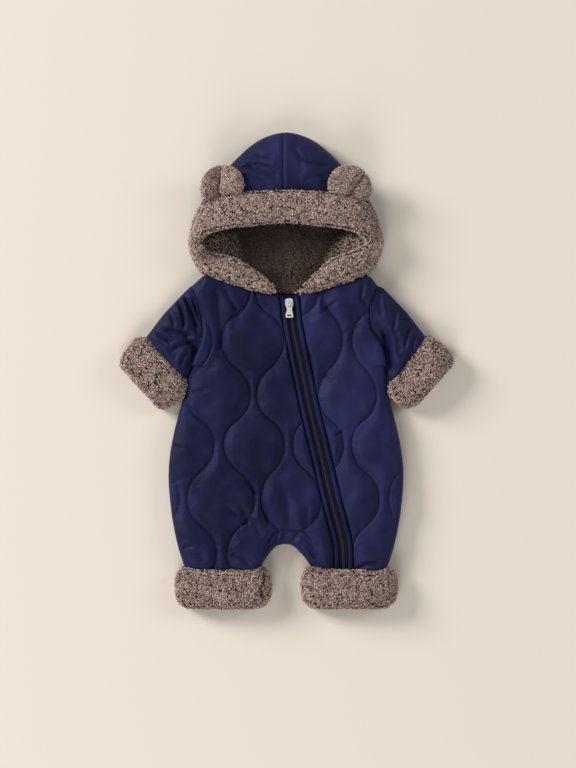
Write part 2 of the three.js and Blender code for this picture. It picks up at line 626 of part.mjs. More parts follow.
// An ear is a padded cushion on the crown beside the band, pinched by one upright fold.
function ear(hand) {
  const outline = [[61, 249.5], [60, 263.5], [67, 276.5], [82, 283.5], [98, 282.5], [111, 273.5],
    [118, 258.5], [117.5, 244.5], [110, 241], [95, 245], [78, 248]]
  const n = outline.length
  const ringPoints = []
  for (let i = 0; i < n; i++) {
    const [p0, p1, p2, p3] = [-1, 0, 1, 2].map(k => outline[(i + k + n) % n])
    for (const t of [0, 0.5]) {
      ringPoints.push([0, 1].map(k => 0.5 * (2 * p1[k] + (p2[k] - p0[k]) * t
        + (2 * p0[k] - 5 * p1[k] + 4 * p2[k] - p3[k]) * t * t
        + (3 * p1[k] - 3 * p2[k] + p3[k] - p0[k]) * t * t * t)))
    }
  }
  const mid = [89, 261.5]
  const under = x => 45.8 - 0.2 * (x - 62)
  const spot = (p, f, top) => {
    const [x, y] = [lerp(mid[0], p[0], f), lerp(mid[1], p[1], f)]
    const pinch = 4.5 * Math.exp(-(((x - 91 + 0.12 * (y - 258)) / 4) ** 2))
      * (1 - smooth(270, 280, y))
    const bulge = Math.sqrt(Math.max(0, 1 - f ** 2.4))
    const z = top ? under(x) + 3 + (9.5 - pinch) * bulge : under(x) + 3 - 3 * bulge
    return [hand * x, y, z]
  }
  const out = []
  const steps = [0, 0.3, 0.55, 0.76, 0.92, 1]
  for (const top of [true, false]) {
    const rings = steps.map(f => ringPoints.map(p => spot(p, f, top)))
    out.push(...gridFaces(rings.map(r => [...r, r[0]]), top))
  }
  return geometryOf(out)
}

// Strips that follow the zip: from and to are signed distances from its middle line.
function zipStrip(from, to, section, count) {
  const rings = []
  for (let i = 0; i <= count; i++) {
    const y0 = lerp(104.2, -276.7, i / count)
    const slope = (zipX(y0 + 2) - zipX(y0 - 2)) / 4
    const len = Math.hypot(1, slope)
    rings.push(section.map(([u, z]) => {
      const d = lerp(from, to, u)
      const y = clamp(y0 - d * slope / len, -276.8, 104.3)
      return [zipX(y0) + d / len, y, z]
    }))
  }
  return ringSolid(rings, false)
}
const TAPE = [[0, 20.3], [1, 20.3], [1, 22], [0.72, 22.3], [0.5, 22.9], [0.28, 22.3], [0, 22]]
const CORD = [[0.06, 20.3], [0.94, 20.3], [1, 22], [0.84, 24.2], [0.5, 20.3 + PLACKET_HEIGHT], [0.16, 24.2],
  [0, 22]]

// Metal slider and pull tab, made along -Y from the hinge. The slider follows the zip's slant and stands 1.6 mm
// beside its middle line; the tab hangs straight down.
const wasm = await Module()
wasm.setup()
const { Manifold, CrossSection } = wasm
const HINGE = { x: zipX(91.6) - 1.6, y: 91.6, z: 27.2 }
const zipTurn = Math.atan2(zipX(86) - zipX(98), 12)
const rounded = (w, l, r) => new CrossSection([[[-w / 2 + r, -l / 2 + r], [w / 2 - r, -l / 2 + r],
  [w / 2 - r, l / 2 - r], [-w / 2 + r, l / 2 - r]]]).offset(r, 'Round', 2, 24)
const box = (x0, y0, z0, x1, y1, z1) => Manifold.cube([x1 - x0, y1 - y0, z1 - z0]).translate([x0, y0, z0])
function toGeometry(solid, turn) {
  const mesh = solid.rotate([0, 0, turn * 180 / Math.PI]).translate([HINGE.x, HINGE.y, HINGE.z]).getMesh()
  const g = new THREE.BufferGeometry()
  const xyz = []
  for (let i = 0; i < mesh.numVert; i++) {
    const start = i * mesh.numProp
    xyz.push(...mesh.vertProperties.slice(start, start + 3))
  }
  g.setAttribute('position', new THREE.Float32BufferAttribute(xyz, 3))
  g.setIndex([...mesh.triVerts])
  g.computeVertexNormals()
  return g
}
function slider() {
  const plate = rounded(11, 12, 3).extrude(1.9).translate([0, 2.4, -3.85])
  const rim = rounded(9.4, 10.4, 2.6).extrude(0.6).translate([0, 2.4, -2.0])
  const profile = [[-2.6, -1.6], [5.2, -1.6], [3.6, -0.3], [2.4, 1.1], [1.2, 2.5], [-1.5, 2.5], [-2.6, 1.4]]
  const arch = new CrossSection([profile]).extrude(2.8).rotate([90, 0, 90]).translate([-1.4, 0, 0])
    .subtract(box(-2, -1.25, -1.25, 2, 1.25, 1.25))
  return toGeometry(plate.add(rim).add(arch), zipTurn)
}
function pullTab() {
  const half = [[0.65, 3.4], [-0.65, 4.0], [-3.6, 4.2], [-6.5, 3.6], [-9.5, 3.9], [-13, 5.0], [-16.6, 5.5],
    [-TAB_LENGTH + 0.6, 5.0], [-TAB_LENGTH, 3.8]]
  const pts = [...half.map(([y, x]) => [x, y]), ...[...half].reverse().map(([y, x]) => [-x, y])]
  let shape = new CrossSection([pts.reverse()])
  shape = shape.subtract(rounded(4.2, 3.2, 0.6).translate([0, -2.25]))
  shape = shape.subtract(rounded(6, 2, 0.8).translate([0, -15.2]))
  return toGeometry(shape.extrude(1.3).translate([0, 0, -0.65]).rotate([4, 0, 0]), 0)
}

// Materials: one for each node, in three kinds
const LOOKS = {
  shell: { color: 0x2a2a58, roughness: 0.5, metalness: 0 },
  fleece: { color: 0x9a8478, roughness: 0.95, metalness: 0 },
  lining: { color: 0x4a372e, roughness: 0.95, metalness: 0 },
  tape: { color: 0x1b1b38, roughness: 0.7, metalness: 0 },
  metal: { color: 0xd8d8dc, roughness: 0.25, metalness: 1 },
}
const group = new THREE.Group()
group.name = 'baby_snowsuit'
function put(name, geometry, look) {
  const material = new THREE.MeshStandardMaterial(LOOKS[look])
  material.name = `${name}_${look}`
  const mesh = new THREE.Mesh(geometry, material)
  mesh.name = name
  group.add(mesh)
}

put('back', backPanel(), 'shell')
put('front_right', frontPanel(-1), 'shell')
put('front_left', frontPanel(1), 'shell')
put('sleeve_right', sleeve(-1), 'shell')
put('sleeve_left', sleeve(1), 'shell')
put('cuff_sleeve_right', cuff([-196.3, 43.9], [-141.6, -15.9], 51, 4.5, 34), 'fleece')
put('cuff_sleeve_left', cuff([146.9, -20.1], [196.4, 43.9], 48, 4.5, 34), 'fleece')
const legSeam = LEG_TOP_Y + 0.25
put('cuff_leg_right', cuff([-148, legSeam], [-28, legSeam], legSeam - CUFF_END_Y, 7.5, 36), 'fleece')
put('cuff_leg_left', cuff([29, legSeam], [148, legSeam], legSeam - CUFF_END_Y, 7.5, 36), 'fleece')
put('hood_right', hoodHalf(-1), 'shell')
put('hood_left', hoodHalf(1), 'shell')
put('hood_lining', lining(), 'lining')
put('hood_trim', trim(), 'fleece')
put('ear_right', ear(-1), 'fleece')
put('ear_left', ear(1), 'fleece')
put('zip_tape', zipStrip(-ZIP_HALF_TAPE, ZIP_HALF_TAPE, TAPE, 28), 'tape')
put('placket_right', zipStrip(-ZIP_HALF_TAPE - 7, -ZIP_HALF_TAPE - SEAM_GAP, CORD, 28), 'shell')
put('placket_left', zipStrip(ZIP_HALF_TAPE + SEAM_GAP, ZIP_HALF_TAPE + 7, CORD, 28), 'shell')
put('zip_slider', slider(), 'metal')
put('zip_pull', pullTab(), 'metal')

export default group
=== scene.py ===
import json
import bpy
import numpy as np
from mathutils.kdtree import KDTree
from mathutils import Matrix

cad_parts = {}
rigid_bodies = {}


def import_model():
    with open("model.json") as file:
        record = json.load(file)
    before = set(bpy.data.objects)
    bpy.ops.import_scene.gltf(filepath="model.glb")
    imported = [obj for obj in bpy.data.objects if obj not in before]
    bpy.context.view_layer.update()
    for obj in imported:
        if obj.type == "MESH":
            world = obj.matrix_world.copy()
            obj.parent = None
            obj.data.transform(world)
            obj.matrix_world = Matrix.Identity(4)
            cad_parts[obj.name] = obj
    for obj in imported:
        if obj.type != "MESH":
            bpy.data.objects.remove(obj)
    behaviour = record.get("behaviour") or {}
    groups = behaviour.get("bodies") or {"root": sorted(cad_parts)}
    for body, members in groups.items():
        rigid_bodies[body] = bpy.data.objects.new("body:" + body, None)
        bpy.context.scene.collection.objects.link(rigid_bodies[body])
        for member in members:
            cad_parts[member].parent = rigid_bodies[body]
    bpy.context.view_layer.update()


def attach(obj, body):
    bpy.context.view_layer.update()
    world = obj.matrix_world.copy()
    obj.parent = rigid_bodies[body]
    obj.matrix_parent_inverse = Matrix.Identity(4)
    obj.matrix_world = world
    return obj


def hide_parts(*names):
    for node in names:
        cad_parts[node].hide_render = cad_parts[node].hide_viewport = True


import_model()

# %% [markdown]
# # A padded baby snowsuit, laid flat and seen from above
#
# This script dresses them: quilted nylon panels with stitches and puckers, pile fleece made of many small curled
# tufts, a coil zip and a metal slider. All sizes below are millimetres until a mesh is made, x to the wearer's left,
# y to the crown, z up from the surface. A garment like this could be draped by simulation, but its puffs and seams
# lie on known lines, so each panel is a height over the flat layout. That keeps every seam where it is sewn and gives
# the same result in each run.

MM = 0.001
scene = bpy.context.scene

# %% [markdown]
# ## Small tools
# Tables turn a few measured rows into smooth functions. Bumps and creases are sums of short strokes.

# %% Steps, tables and waves
WAVES = 14


def table(rows, straight=False):
    """A function of one number through (key, value) rows: cubic pieces whose slope at each row is that between its
    neighbours, or straight pieces. Beyond the ends it keeps the end value."""
    r = np.array(sorted(rows), float)
    x, y = r[:, 0], r[:, 1]
    m = np.empty_like(y)
    m[1:-1] = (y[2:] - y[:-2]) / (x[2:] - x[:-2])
    m[0], m[-1] = (y[1] - y[0]) / (x[1] - x[0]), (y[-1] - y[-2]) / (x[-1] - x[-2])

    def f(q):
        q = np.clip(np.asarray(q, float), x[0], x[-1])
        if straight:
            return np.interp(q, x, y)
        i = np.clip(np.searchsorted(x, q) - 1, 0, len(x) - 2)
        h = x[i + 1] - x[i]
        t = (q - x[i]) / h
        return ((2 * t**3 - 3 * t**2 + 1) * y[i] + (t**3 - 2 * t**2 + t) * h * m[i]
                + (3 * t**2 - 2 * t**3) * y[i + 1] + (t**3 - t**2) * h * m[i + 1])
    return f


def step(a, b, x):
    """0 below a, 1 above b, with a smooth rise between: 3t^2 - 2t^3."""
    t = np.clip((x - a) / (b - a), 0, 1)
    return t * t * (3 - 2 * t)


def dome(t, p=2.0):
    """A quarter round: (1 - (1 - t)^p)^(1/p), from 0 at t = 0 to 1 at t = 1."""
    return np.maximum(0, 1 - (1 - np.clip(t, 0, 1)) ** p) ** (1 / p)


def lerp(a, b, t):
    """From a at t = 0 straight to b at t = 1."""
    return a + (b - a) * t


def waves(x, y, size, seed):
    """Smooth uneven ground: the sum of 14 sine waves of about the given length in random directions, divided by the
    square root of their number."""
    rng = np.random.default_rng(seed)
    out = np.zeros(np.broadcast(x, y).shape)
    for _ in range(WAVES):
        a, k = rng.uniform(0, 2 * np.pi), 2 * np.pi / (size * rng.uniform(0.6, 1.7))
        out = out + np.sin(k * (np.cos(a) * x + np.sin(a) * y) + rng.uniform(0, 2 * np.pi))
    return out / np.sqrt(WAVES)


def stroke_distance(x, y, points):
    """Distance to a chain of straight pieces, how far along it (0 to 1) the nearest place is, and the side of the
    chain: 1 on its left and -1 on its right."""
    shape = np.broadcast(x, y).shape
    best, where = np.full(shape, 1e9), np.zeros(shape)
    p = np.array(points, float)
    seg = np.hypot(*np.diff(p, axis=0).T)
    run = np.concatenate([[0], np.cumsum(seg)]) / seg.sum()
    side = np.zeros_like(best)
    for i in range(len(p) - 1):
        d = p[i + 1] - p[i]
        t = np.clip(((x - p[i, 0]) * d[0] + (y - p[i, 1]) * d[1]) / (d @ d), 0, 1)
        ex, ey = x - p[i, 0] - t * d[0], y - p[i, 1] - t * d[1]
        q = np.hypot(ex, ey)
        near = q < best
        best = np.where(near, q, best)
        where = np.where(near, lerp(run[i], run[i + 1], t), where)
        side = np.where(near, np.sign(d[0] * ey - d[1] * ex), side)
    return best, where, side


# %% [markdown]
# ## Meshes from grids
# Each piece is one or more grids of points. `build` puts them into a mesh, turns the faces outwards by the sign of
# the enclosed volume and lets the piece ride on its body.

# %% From grids to a mesh
def grid_faces(rows, cols, start=0, wrap_rows=False, wrap_cols=False):
    """Corner numbers of the cells of a grid of points numbered row by row."""
    i = np.arange(rows if wrap_rows else rows - 1)[:, None]
    j = np.arange(cols if wrap_cols else cols - 1)[None, :]
    a = i * cols + j
    b = i * cols + (j + 1) % cols
    c = ((i + 1) % rows) * cols + (j + 1) % cols
    d = ((i + 1) % rows) * cols + j
    return np.stack(np.broadcast_arrays(a, b, c, d), -1).reshape(-1, 4) + start


def outward(verts, faces):
    """Sum of the signed volumes between the origin and each face's fan of triangles: positive when faces look out."""
    total = 0.0
    for k in range(1, faces.shape[1] - 1):
        a, b, c = verts[faces[:, 0]], verts[faces[:, k]], verts[faces[:, k + 1]]
        total += np.einsum("ij,ij->i", a, np.cross(b, c)).sum()
    return total


def mesh_object(name, points, faces, material):
    """A smooth object with one material from points in millimetres. It sits at the origin and rides on the suit."""
    me = bpy.data.meshes.new(name)
    me.from_pydata((points * MM).tolist(), [], faces)
    me.materials.append(material)
    me.polygons.foreach_set("use_smooth", np.ones(len(me.polygons), bool))
    ob = bpy.data.objects.new(name, me)
    scene.collection.objects.link(ob)
    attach(ob, "garment")
    return ob


def build(name, parts, material, node=None, flip=None):
    """One object from (points, faces) parts. Faces are turned to enclose a positive volume, unless flip says how. It
    may stand for a solid, which is then hidden."""
    verts = np.concatenate([v for v, f in parts])
    faces, start = [], 0
    for v, f in parts:
        faces += [[int(i) + start for i in q] for q in f]
        start += len(v)
    quads = np.array([q for q in faces if len(q) == 4] or [[0, 0, 0, 0]])
    tris = np.array([q for q in faces if len(q) == 3] or [[0, 0, 0]])
    if flip is None:
        flip = outward(verts, quads) + outward(verts, tris) < 0
    if flip:
        faces = [q[::-1] for q in faces]
    ob = mesh_object(name, verts, faces, material)
    ob.data.validate()
    if node:
        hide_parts(node)
    return ob


# %% Walls, tubes and rods
def zipper(a, b):
    """Triangles between two border chains of point numbers, walked along in equal shares."""
    out, i, j = [], 0, 0
    while i < len(a) - 1 or j < len(b) - 1:
        if j == len(b) - 1 or (i < len(a) - 1 and (i + 1) / (len(a) - 1) <= (j + 1) / (len(b) - 1)):
            out.append([a[i], b[j], a[i + 1]])
            i += 1
        else:
            out.append([a[i], b[j], b[j + 1]])
            j += 1
    return out


def wall(outer, inner):
    """A closed wall: two grids of points (rows, columns, 3), joined along their four borders."""
    def border(r, c, start):
        """Point numbers along the four sides of a grid, all the way round."""
        n = np.arange(r * c).reshape(r, c) + start
        return [n[0], n[:, -1], n[-1][::-1], n[:, 0][::-1]]
    (r0, c0), (r1, c1) = outer.shape[:2], inner.shape[:2]
    verts = np.concatenate([outer.reshape(-1, 3), inner.reshape(-1, 3)])
    faces = grid_faces(r0, c0).tolist() + grid_faces(r1, c1, r0 * c0)[:, ::-1].tolist()
    for a, b in zip(border(r0, c0, 0), border(r1, c1, r0 * c0)):
        faces += zipper(list(a), list(b))
    return verts, faces


def tube(rings):
    """Rings of points (rings, round, 3) joined all round and from the last ring back to the first."""
    return rings.reshape(-1, 3), grid_faces(rings.shape[0], rings.shape[1], wrap_rows=True, wrap_cols=True)


def rod(rings):
    """Rings of points joined all round, with a fan at both ends."""
    r, c = rings.shape[:2]
    verts = np.concatenate([rings.reshape(-1, 3), rings[[0, -1]].mean(1)])
    faces = grid_faces(r, c, wrap_cols=True).tolist()
    for base, mid, back in ((0, r * c, False), ((r - 1) * c, r * c + 1, True)):
        for i in range(c):
            tri = [mid, base + (i + 1) % c, base + i]
            faces.append(tri[::-1] if back else tri)
    return verts, faces


# %% [markdown]
# ## Materials
# One class wraps a shader socket so that maths reads as maths, and one method makes any node. Wiring each node by
# hand would do the same in many more lines.

# %% Shader values as numbers
class Sock:
    """A shader value that can be added, multiplied and so on with numbers or other values."""

    def __init__(self, look, socket):
        self.look, self.socket = look, socket

    def maths(self, kind, other=None, swap=False):
        """A maths node on this value alone or on it and another, in either order."""
        terms = [self] if other is None else [other, self] if swap else [self, other]
        return self.look.node("ShaderNodeMath", {"operation": kind}, dict(enumerate(terms)))

    def __add__(self, o): return self.maths("ADD", o)
    def __radd__(self, o): return self.maths("ADD", o, True)
    def __sub__(self, o): return self.maths("SUBTRACT", o)
    def __rsub__(self, o): return self.maths("SUBTRACT", o, True)
    def __mul__(self, o): return self.maths("MULTIPLY", o)
    def __rmul__(self, o): return self.maths("MULTIPLY", o, True)
    def sine(self): return self.maths("SINE")


# %% A material
class Look:
    """A material with one Principled shader."""

    def __init__(self, name, **values):
        self.mat = bpy.data.materials.new(name)
        self.mat.use_nodes = True
        self.tree = self.mat.node_tree
        self.shader = self.tree.nodes["Principled BSDF"]
        for key, v in values.items():
            self.shader.inputs[key.replace("_", " ")].default_value = v

    def node(self, kind, settings=None, values=None, out=0):
        """Any node: its settings by name, and its inputs by name or number, as values or links."""
        n = self.tree.nodes.new(kind)
        for key, v in (settings or {}).items():
            setattr(n, key, v)
        for key, v in (values or {}).items():
            if isinstance(v, Sock):
                self.tree.links.new(v.socket, n.inputs[key])
            else:
                n.inputs[key].default_value = v
        return Sock(self, n.outputs[out])

    def place(self):
        """Object coordinates in millimetres."""
        where = self.node("ShaderNodeTexCoord", out="Object")
        return self.node("ShaderNodeVectorMath", {"operation": "MULTIPLY"}, {0: where, 1: (1000, 1000, 1000)})

    def axes(self, vector):
        """The three numbers of a vector."""
        first = self.node("ShaderNodeSeparateXYZ", {}, {0: vector})
        return [Sock(self, o) for o in first.socket.node.outputs]

    def noise(self, vector, scale, detail=3.0):
        """Cloudy values from 0 to 1, with scale clouds in a millimetre."""
        return self.node("ShaderNodeTexNoise", {}, {"Vector": vector, "Scale": scale, "Detail": detail})

    def mix(self, share, a, b):
        """Colour between a and b."""
        return self.node("ShaderNodeMix", {"data_type": "RGBA"}, {0: share, 6: a, 7: b}, out=2)

    def ramp(self, value, low, high):
        """0 at low, 1 at high, held beyond."""
        return self.node("ShaderNodeMapRange", {}, {0: value, 1: low, 2: high})

    def put(self, socket, value):
        """Link a value to one of the shader's sockets."""
        self.tree.links.new(value.socket, self.shader.inputs[socket])

    def bump(self, height, distance, strength):
        """Relief in the light alone: height in units of distance, in metres."""
        self.put("Normal", self.node("ShaderNodeBump", {}, {"Height": height, "Distance": distance,
                                                             "Strength": strength}))


# %% [markdown]
# ### Cloth and fleece
# The nylon is a plain weave with a satin shine. Its threads are far finer than the mesh, so they are sine waves in
# the bump. The pile takes its dark roots and light tips from an attribute that each tuft carries: painted shade among
# the tufts and painted light on their ends. The knit under it is a rough, lumpy cloth, painted dark as the shade
# under the pile.

# %% Nylon, pile and knit
def nylon(name, tone_and_shade):
    """Smooth woven nylon: a plain weave of fine threads in the bump, cloudy colour and a satin shine."""
    k = Look(name, Specular_IOR_Level=0.17, Specular_Tint=(0.6, 0.65, 1, 1), Sheen_Weight=0.11,
             Sheen_Roughness=0.4, Sheen_Tint=(0.22, 0.26, 0.9, 1))
    p = k.place()
    x, y, z = k.axes(p)
    cloud = k.noise(p, 0.016, 3.0)
    fine = k.noise(p, 0.35, 2.0)
    dark, light = [c * 0.66 for c in tone_and_shade], [c * 1.45 for c in tone_and_shade]
    k.put("Base Color", k.mix(k.ramp(cloud, 0.36, 0.64), (*dark, 1), (*light, 1)))
    k.put("Roughness", 0.46 + cloud * 0.1)
    weave = (x * 9.0).sine() * (y * 9.0).sine()
    ribs = (y * 4.2 + z * 2.0).sine() * 0.35
    k.bump(weave + ribs + fine * 1.6, 0.00008, 0.5)
    return k.mat


def fleece(name, dark, mid, light):
    """Pile: the attribute 'tip' runs from 0 at a tuft's root to 1 at its end; its dark roots are painted shade among
    the tufts and its light ends painted light. 'tone_and_shade' differs from tuft to tuft and is lower where the pile
    is pressed, as painted shade.
    """
    k = Look(name, Roughness=0.9, Sheen_Weight=0.35, Sheen_Roughness=0.5, Sheen_Tint=(*light, 1))
    tip = k.node("ShaderNodeAttribute", {"attribute_name": "tip"}, out="Fac")
    tone_and_shade = k.node("ShaderNodeAttribute", {"attribute_name": "tone_and_shade"}, out="Fac")
    patch = k.noise(k.place(), 0.045, 2.0)
    # painted shade at the roots and painted light at the ends: the colour rises with 'tip'
    share = tip * 0.80 + tone_and_shade * 0.74 + patch * 0.32 - 0.45
    low = k.mix(k.ramp(share, 0.05, 0.5), (*dark, 1), (*mid, 1))
    k.put("Base Color", k.mix(k.ramp(share, 0.5, 1.0), low, (*light, 1)))
    return k.mat


def backing(name, dark, mid):
    """The knit under the pile: rough and lumpy, painted dark as the shade under the pile."""
    k = Look(name, Roughness=0.95, Sheen_Weight=0.2)
    p = k.place()
    lumps = k.noise(p, 0.5, 3.0)
    k.put("Base Color", k.mix(k.ramp(lumps, 0.35, 0.65), (*dark, 1), (*mid, 1)))
    k.bump(lumps, 0.0012, 0.8)
    return k.mat


# %% [markdown]
# ### Colours
# Each nylon piece has a material of its own: the navy times a factor per piece, painted light and shade that make
# some pieces lighter and others darker. The tape has ribs across it, and the metal has fine scuffs.

# %% The suit's materials
NAVY = (0.0092, 0.0098, 0.041)
TAUPE = dict(dark=(0.068, 0.042, 0.034), mid=(0.325, 0.226, 0.195), light=(0.95, 0.745, 0.675))
# painted shade: the lining's brown is darker than the taupe fleece, partly its own colour and partly the shade inside
# the hood
BROWN_IN_SHADE = dict(dark=(0.028, 0.017, 0.014), mid=(0.17, 0.110, 0.090), light=(0.60, 0.44, 0.37))
# painted light and shade: factors that make some nylon pieces lighter and others darker than the navy
PAINTED_LIGHT = dict(back=1.0, front_right=0.93, front_left=1.24, sleeve_right=0.9, sleeve_left=0.95, hood_right=1.18,
             hood_left=1.1, piping=0.8)
shell_looks = {key: nylon("navy_nylon_painted_light_" + key, tuple(c * shade for c in NAVY)) for key, shade in PAINTED_LIGHT.items()}
cord_look = shell_looks["piping"]
fleece_look = fleece("taupe_pile", **TAUPE)
# painted shade: both knits are darker than their pile, as the shade under it
fleece_base = backing("taupe_knit", tuple(c * 0.3 for c in TAUPE["mid"]), tuple(c * 0.62 for c in TAUPE["mid"]))
lining_look = fleece("brown_pile", **BROWN_IN_SHADE)
lining_base = backing("brown_knit", BROWN_IN_SHADE["dark"], tuple(c * 0.8 for c in BROWN_IN_SHADE["mid"]))

thread = Look("thread", Base_Color=(0.012, 0.012, 0.05, 1), Roughness=0.6)
thread.bump(thread.node("ShaderNodeTexWave", {"bands_direction": "DIAGONAL"},
                        {"Vector": thread.place(), "Scale": 2.5}), 0.0001, 0.5)
tape = Look("zip_tape", Base_Color=(0.0065, 0.0065, 0.019, 1), Roughness=0.8, Specular_IOR_Level=0.12)
tx, ty, _ = tape.axes(tape.place())
tape.bump((ty * 7.0).sine() + (tx * 5.0).sine() * 0.5, 0.00012, 0.6)
coil = Look("zip_coil", Base_Color=(0.034, 0.035, 0.062, 1), Specular_IOR_Level=0.4)
coil.put("Roughness", 0.3 + coil.noise(coil.place(), 0.4) * 0.2)
metal = Look("bright_metal", Base_Color=(0.93, 0.93, 0.94, 1), Metallic=0.6)
scuff = metal.noise(metal.place(), 0.9, 4.0)
metal.put("Roughness", 0.16 + scuff * 0.16)
metal.bump(scuff, 0.00003, 0.4)
print("materials:", len(bpy.data.materials))

# %% [markdown]
# ## Camera, light and floor
# The camera looks straight down from 4 m, which keeps the edges of the suit nearly free of perspective. At the
# height of its front the frame covers 806 by 1075 mm. Three wide soft lights make the long soft shading: a strong one
# at the upper left, and weaker ones below the hems and at the right.

# %% Camera
SENSOR = 24.0
CAMERA_HEIGHT = 4.0
FRONT_HEIGHT = 0.018
FRAME_LENGTH = 1075.2
FRAME_MIDDLE = (2.8, -19.6)
cam = bpy.data.cameras.new("camera")
cam.sensor_fit = "VERTICAL"
cam.sensor_height = SENSOR
cam.lens = SENSOR * (CAMERA_HEIGHT - FRONT_HEIGHT) / (FRAME_LENGTH * MM)
camera = bpy.data.objects.new("camera", cam)
camera.location = (FRAME_MIDDLE[0] * MM, FRAME_MIDDLE[1] * MM, CAMERA_HEIGHT)
camera.rotation_euler = (0, 0, 0)
scene.collection.objects.link(camera)
scene.camera = camera
print("lens, mm:", round(cam.lens, 1))

# %% Lights and floor
LIGHTS = [
    # name, place in metres, size, power, colour
    ("key", (-5.2, 2.8, 2.9), 2.4, 458, (1.0, 0.985, 0.96)),
    ("low", (-1.0, -4.0, 2.6), 2.4, 105, (1.0, 0.98, 0.95)),
    ("side", (4.4, 1.5, 2.8), 2.0, 66, (0.97, 0.98, 1.0)),
]


def area_light(name, place, size, power, colour):
    """A square area light that faces the middle of the suit."""
    data = bpy.data.lights.new(name, "AREA")
    data.size, data.energy, data.color = size, power, colour
    ob = bpy.data.objects.new(name, data)
    ob.location = place
    d = -np.array(place)
    ob.rotation_euler = (float(np.arctan2(np.hypot(d[0], d[1]), -d[2])), 0, float(np.arctan2(d[0], -d[1]) + np.pi))
    scene.collection.objects.link(ob)


for light in LIGHTS:
    area_light(*light)
world = bpy.data.worlds.new("world")
scene.world = world
world.use_nodes = True
sky = world.node_tree.nodes["Background"]
sky.inputs["Color"].default_value = (1.0, 0.97, 0.93, 1)
sky.inputs["Strength"].default_value = 0.31
scene.view_settings.view_transform = "Standard"

floor_look = Look("floor", Base_Color=(0.75, 0.686, 0.608, 1), Roughness=0.9)
bpy.ops.mesh.primitive_plane_add(size=12)
floor = bpy.context.object
floor.name = "floor"
floor.data.materials.append(floor_look.mat)
print("lights:", [light[0] for light in LIGHTS])

# %% [markdown]
# ## Outlines of the body
# The same rows as in the solids: both sides by height on the layout, the neck and shoulder line, the leg hems with
# the crotch arch, and the slanting zip. They could be drawn as curves and read back, but tables of numbers can be
# asked for a whole array of points at once.

# %% Sides, shoulders, crotch and zip
shared = [(-74, 153.6), (-93, 158), (-119, 162.6), (-140, 164.4), (-162, 164.3), (-193, 161.4), (-209, 159.3),
          (-245, 152), (-277, 142)]
side_right = table([(118, -131.6), (91, -124), (67, -118), (43, -118), (16, -128), (4, -132), (-8, -137.5),
                    (-29, -140.5), (-44, -145)] + [(y, -x) for y, x in shared])
side_left = table([(119, 127.5), (91, 118), (60, 118), (43, 129), (26, 137), (-6, 141), (-29, 142),
                   (-44, 145.5)] + shared)
top_front = table([(-131.6, 118), (-122, 126.5), (-114, 134), (-91, 125.5), (-61, 116), (-42, 109.5),
                   (-12.5, 105.5), (4, 104.5), (22, 106), (42, 109.5), (61, 116), (91, 125.2), (114, 133.6),
                   (122, 126.5), (127.5, 119)], True)
crotch = table([(-36, -277), (-34.8, -274.5), (-25.5, -260.2), (-16.2, -248.9), (-6.9, -244.6), (1, -244),
                (9.3, -246.3), (18.6, -254.4), (27.9, -264.9), (34, -274), (35.5, -277)])
zip_x = table([(105, 4), (98, 5.6), (70, 8.4), (38, 14.4), (-10, 24.4), (-53, 33.3), (-118, 49), (-178, 63),
               (-218, 73.5), (-244, 79.5), (-277, 80.5)])
SHOULDER_X, LEG_X, HEM_Y = 114, 40, -277.0  # where the shoulder line starts, where the legs part, the leg hems
ARMHOLE_Y = 6  # below it the sides are free
print("zip from", float(zip_x(105)), "at the neck to", float(zip_x(HEM_Y)), "at the hem")

# %% [markdown]
# ## Quilting
# Stitch lines swing left and right between fixed rows, and two neighbours close round puffs between them. A few puffs
# are closed by a short arc of their own, and one gathered arc spans the crotch.

# %% Stitch lines and arcs
# y of the rows where the stitch lines turn, and each line's x at its turns, from the neck to below the hems
TURN_Y = np.array([112, 42, -36, -104, -180, -257, -333], float)
SIDE_LINE = [-186, -186, -170, -186, -148.5, -186, -170]
MIDDLE_LINE = [45, 6, 43, 9.3, 49, 12, 48]
LINES_RIGHT = [[-138, -103.5, -139, -100.9, -138.1, -97.4, -138], [-50, -90.1, -49.9, -87, -44, -82.4, -44],
               [-43, -3, -41.2, -2.3, -34.8, 3, -34], MIDDLE_LINE]
LINES_LEFT = [MIDDLE_LINE, [50.5, 78.7, 45.2, 80.2, 50, 82, 50], [126, 92, 126.2, 91.8, 130, 93, 130],
              [140, 172, 139, 172, 144, 175, 144]]
# short stitched arcs that close a puff, as chains of points
ARCS = [[(-17.8, 12.7), (-8, 15), (3.6, 10.8)], [(31.8, 75.7), (41.2, 77), (50.5, 81)],
        [(-28, -146.5), (-9.2, -141.8), (21, -141.8), (32.5, -144)],
        [(-156.7, -158), (-148.5, -154.5), (-140, -155), (-134.6, -157)],
        [(102.2, -278), (106, -274), (113.8, -270.7), (125.4, -269.5), (141.7, -273)],
        [(92.5, 50), (95.5, 57), (102.8, 62.3), (112.1, 61)]]
CROTCH_ARC = [(-27, -252), (-22, -237), (-13.9, -227.7), (-3.4, -224.3), (9.3, -224.3), (24.4, -226.6),
              (34.9, -237), (41.8, -255.6), (44, -276.5)]
# heights of the front: its underside, its sewn edge, the stitched padding, a puff on that, and the zip's channel
FRONT_UNDER, EDGE_TOP, PADDING_TOP, PUFF, CHANNEL_TOP = 13.0, 14.8, 22.5, 6.0, 20.0
BAND = 14.2  # half width of the channel
BACK_TOP = FRONT_UNDER - 0.3


def neck_back(x):
    """The neck seam of the back: 127 at the middle, 7 mm higher at the shoulders, as the square of x."""
    return 127 + 7 * np.minimum(1, (x / SHOULDER_X) ** 2)


def top_back(x):
    """The upper edge of the back: just under the neck seam, and along the shoulder line outside it."""
    return np.where(np.abs(x) > SHOULDER_X, top_front(x), neck_back(x) - 0.7 - 2.4 * step(80, 104, np.abs(x)))


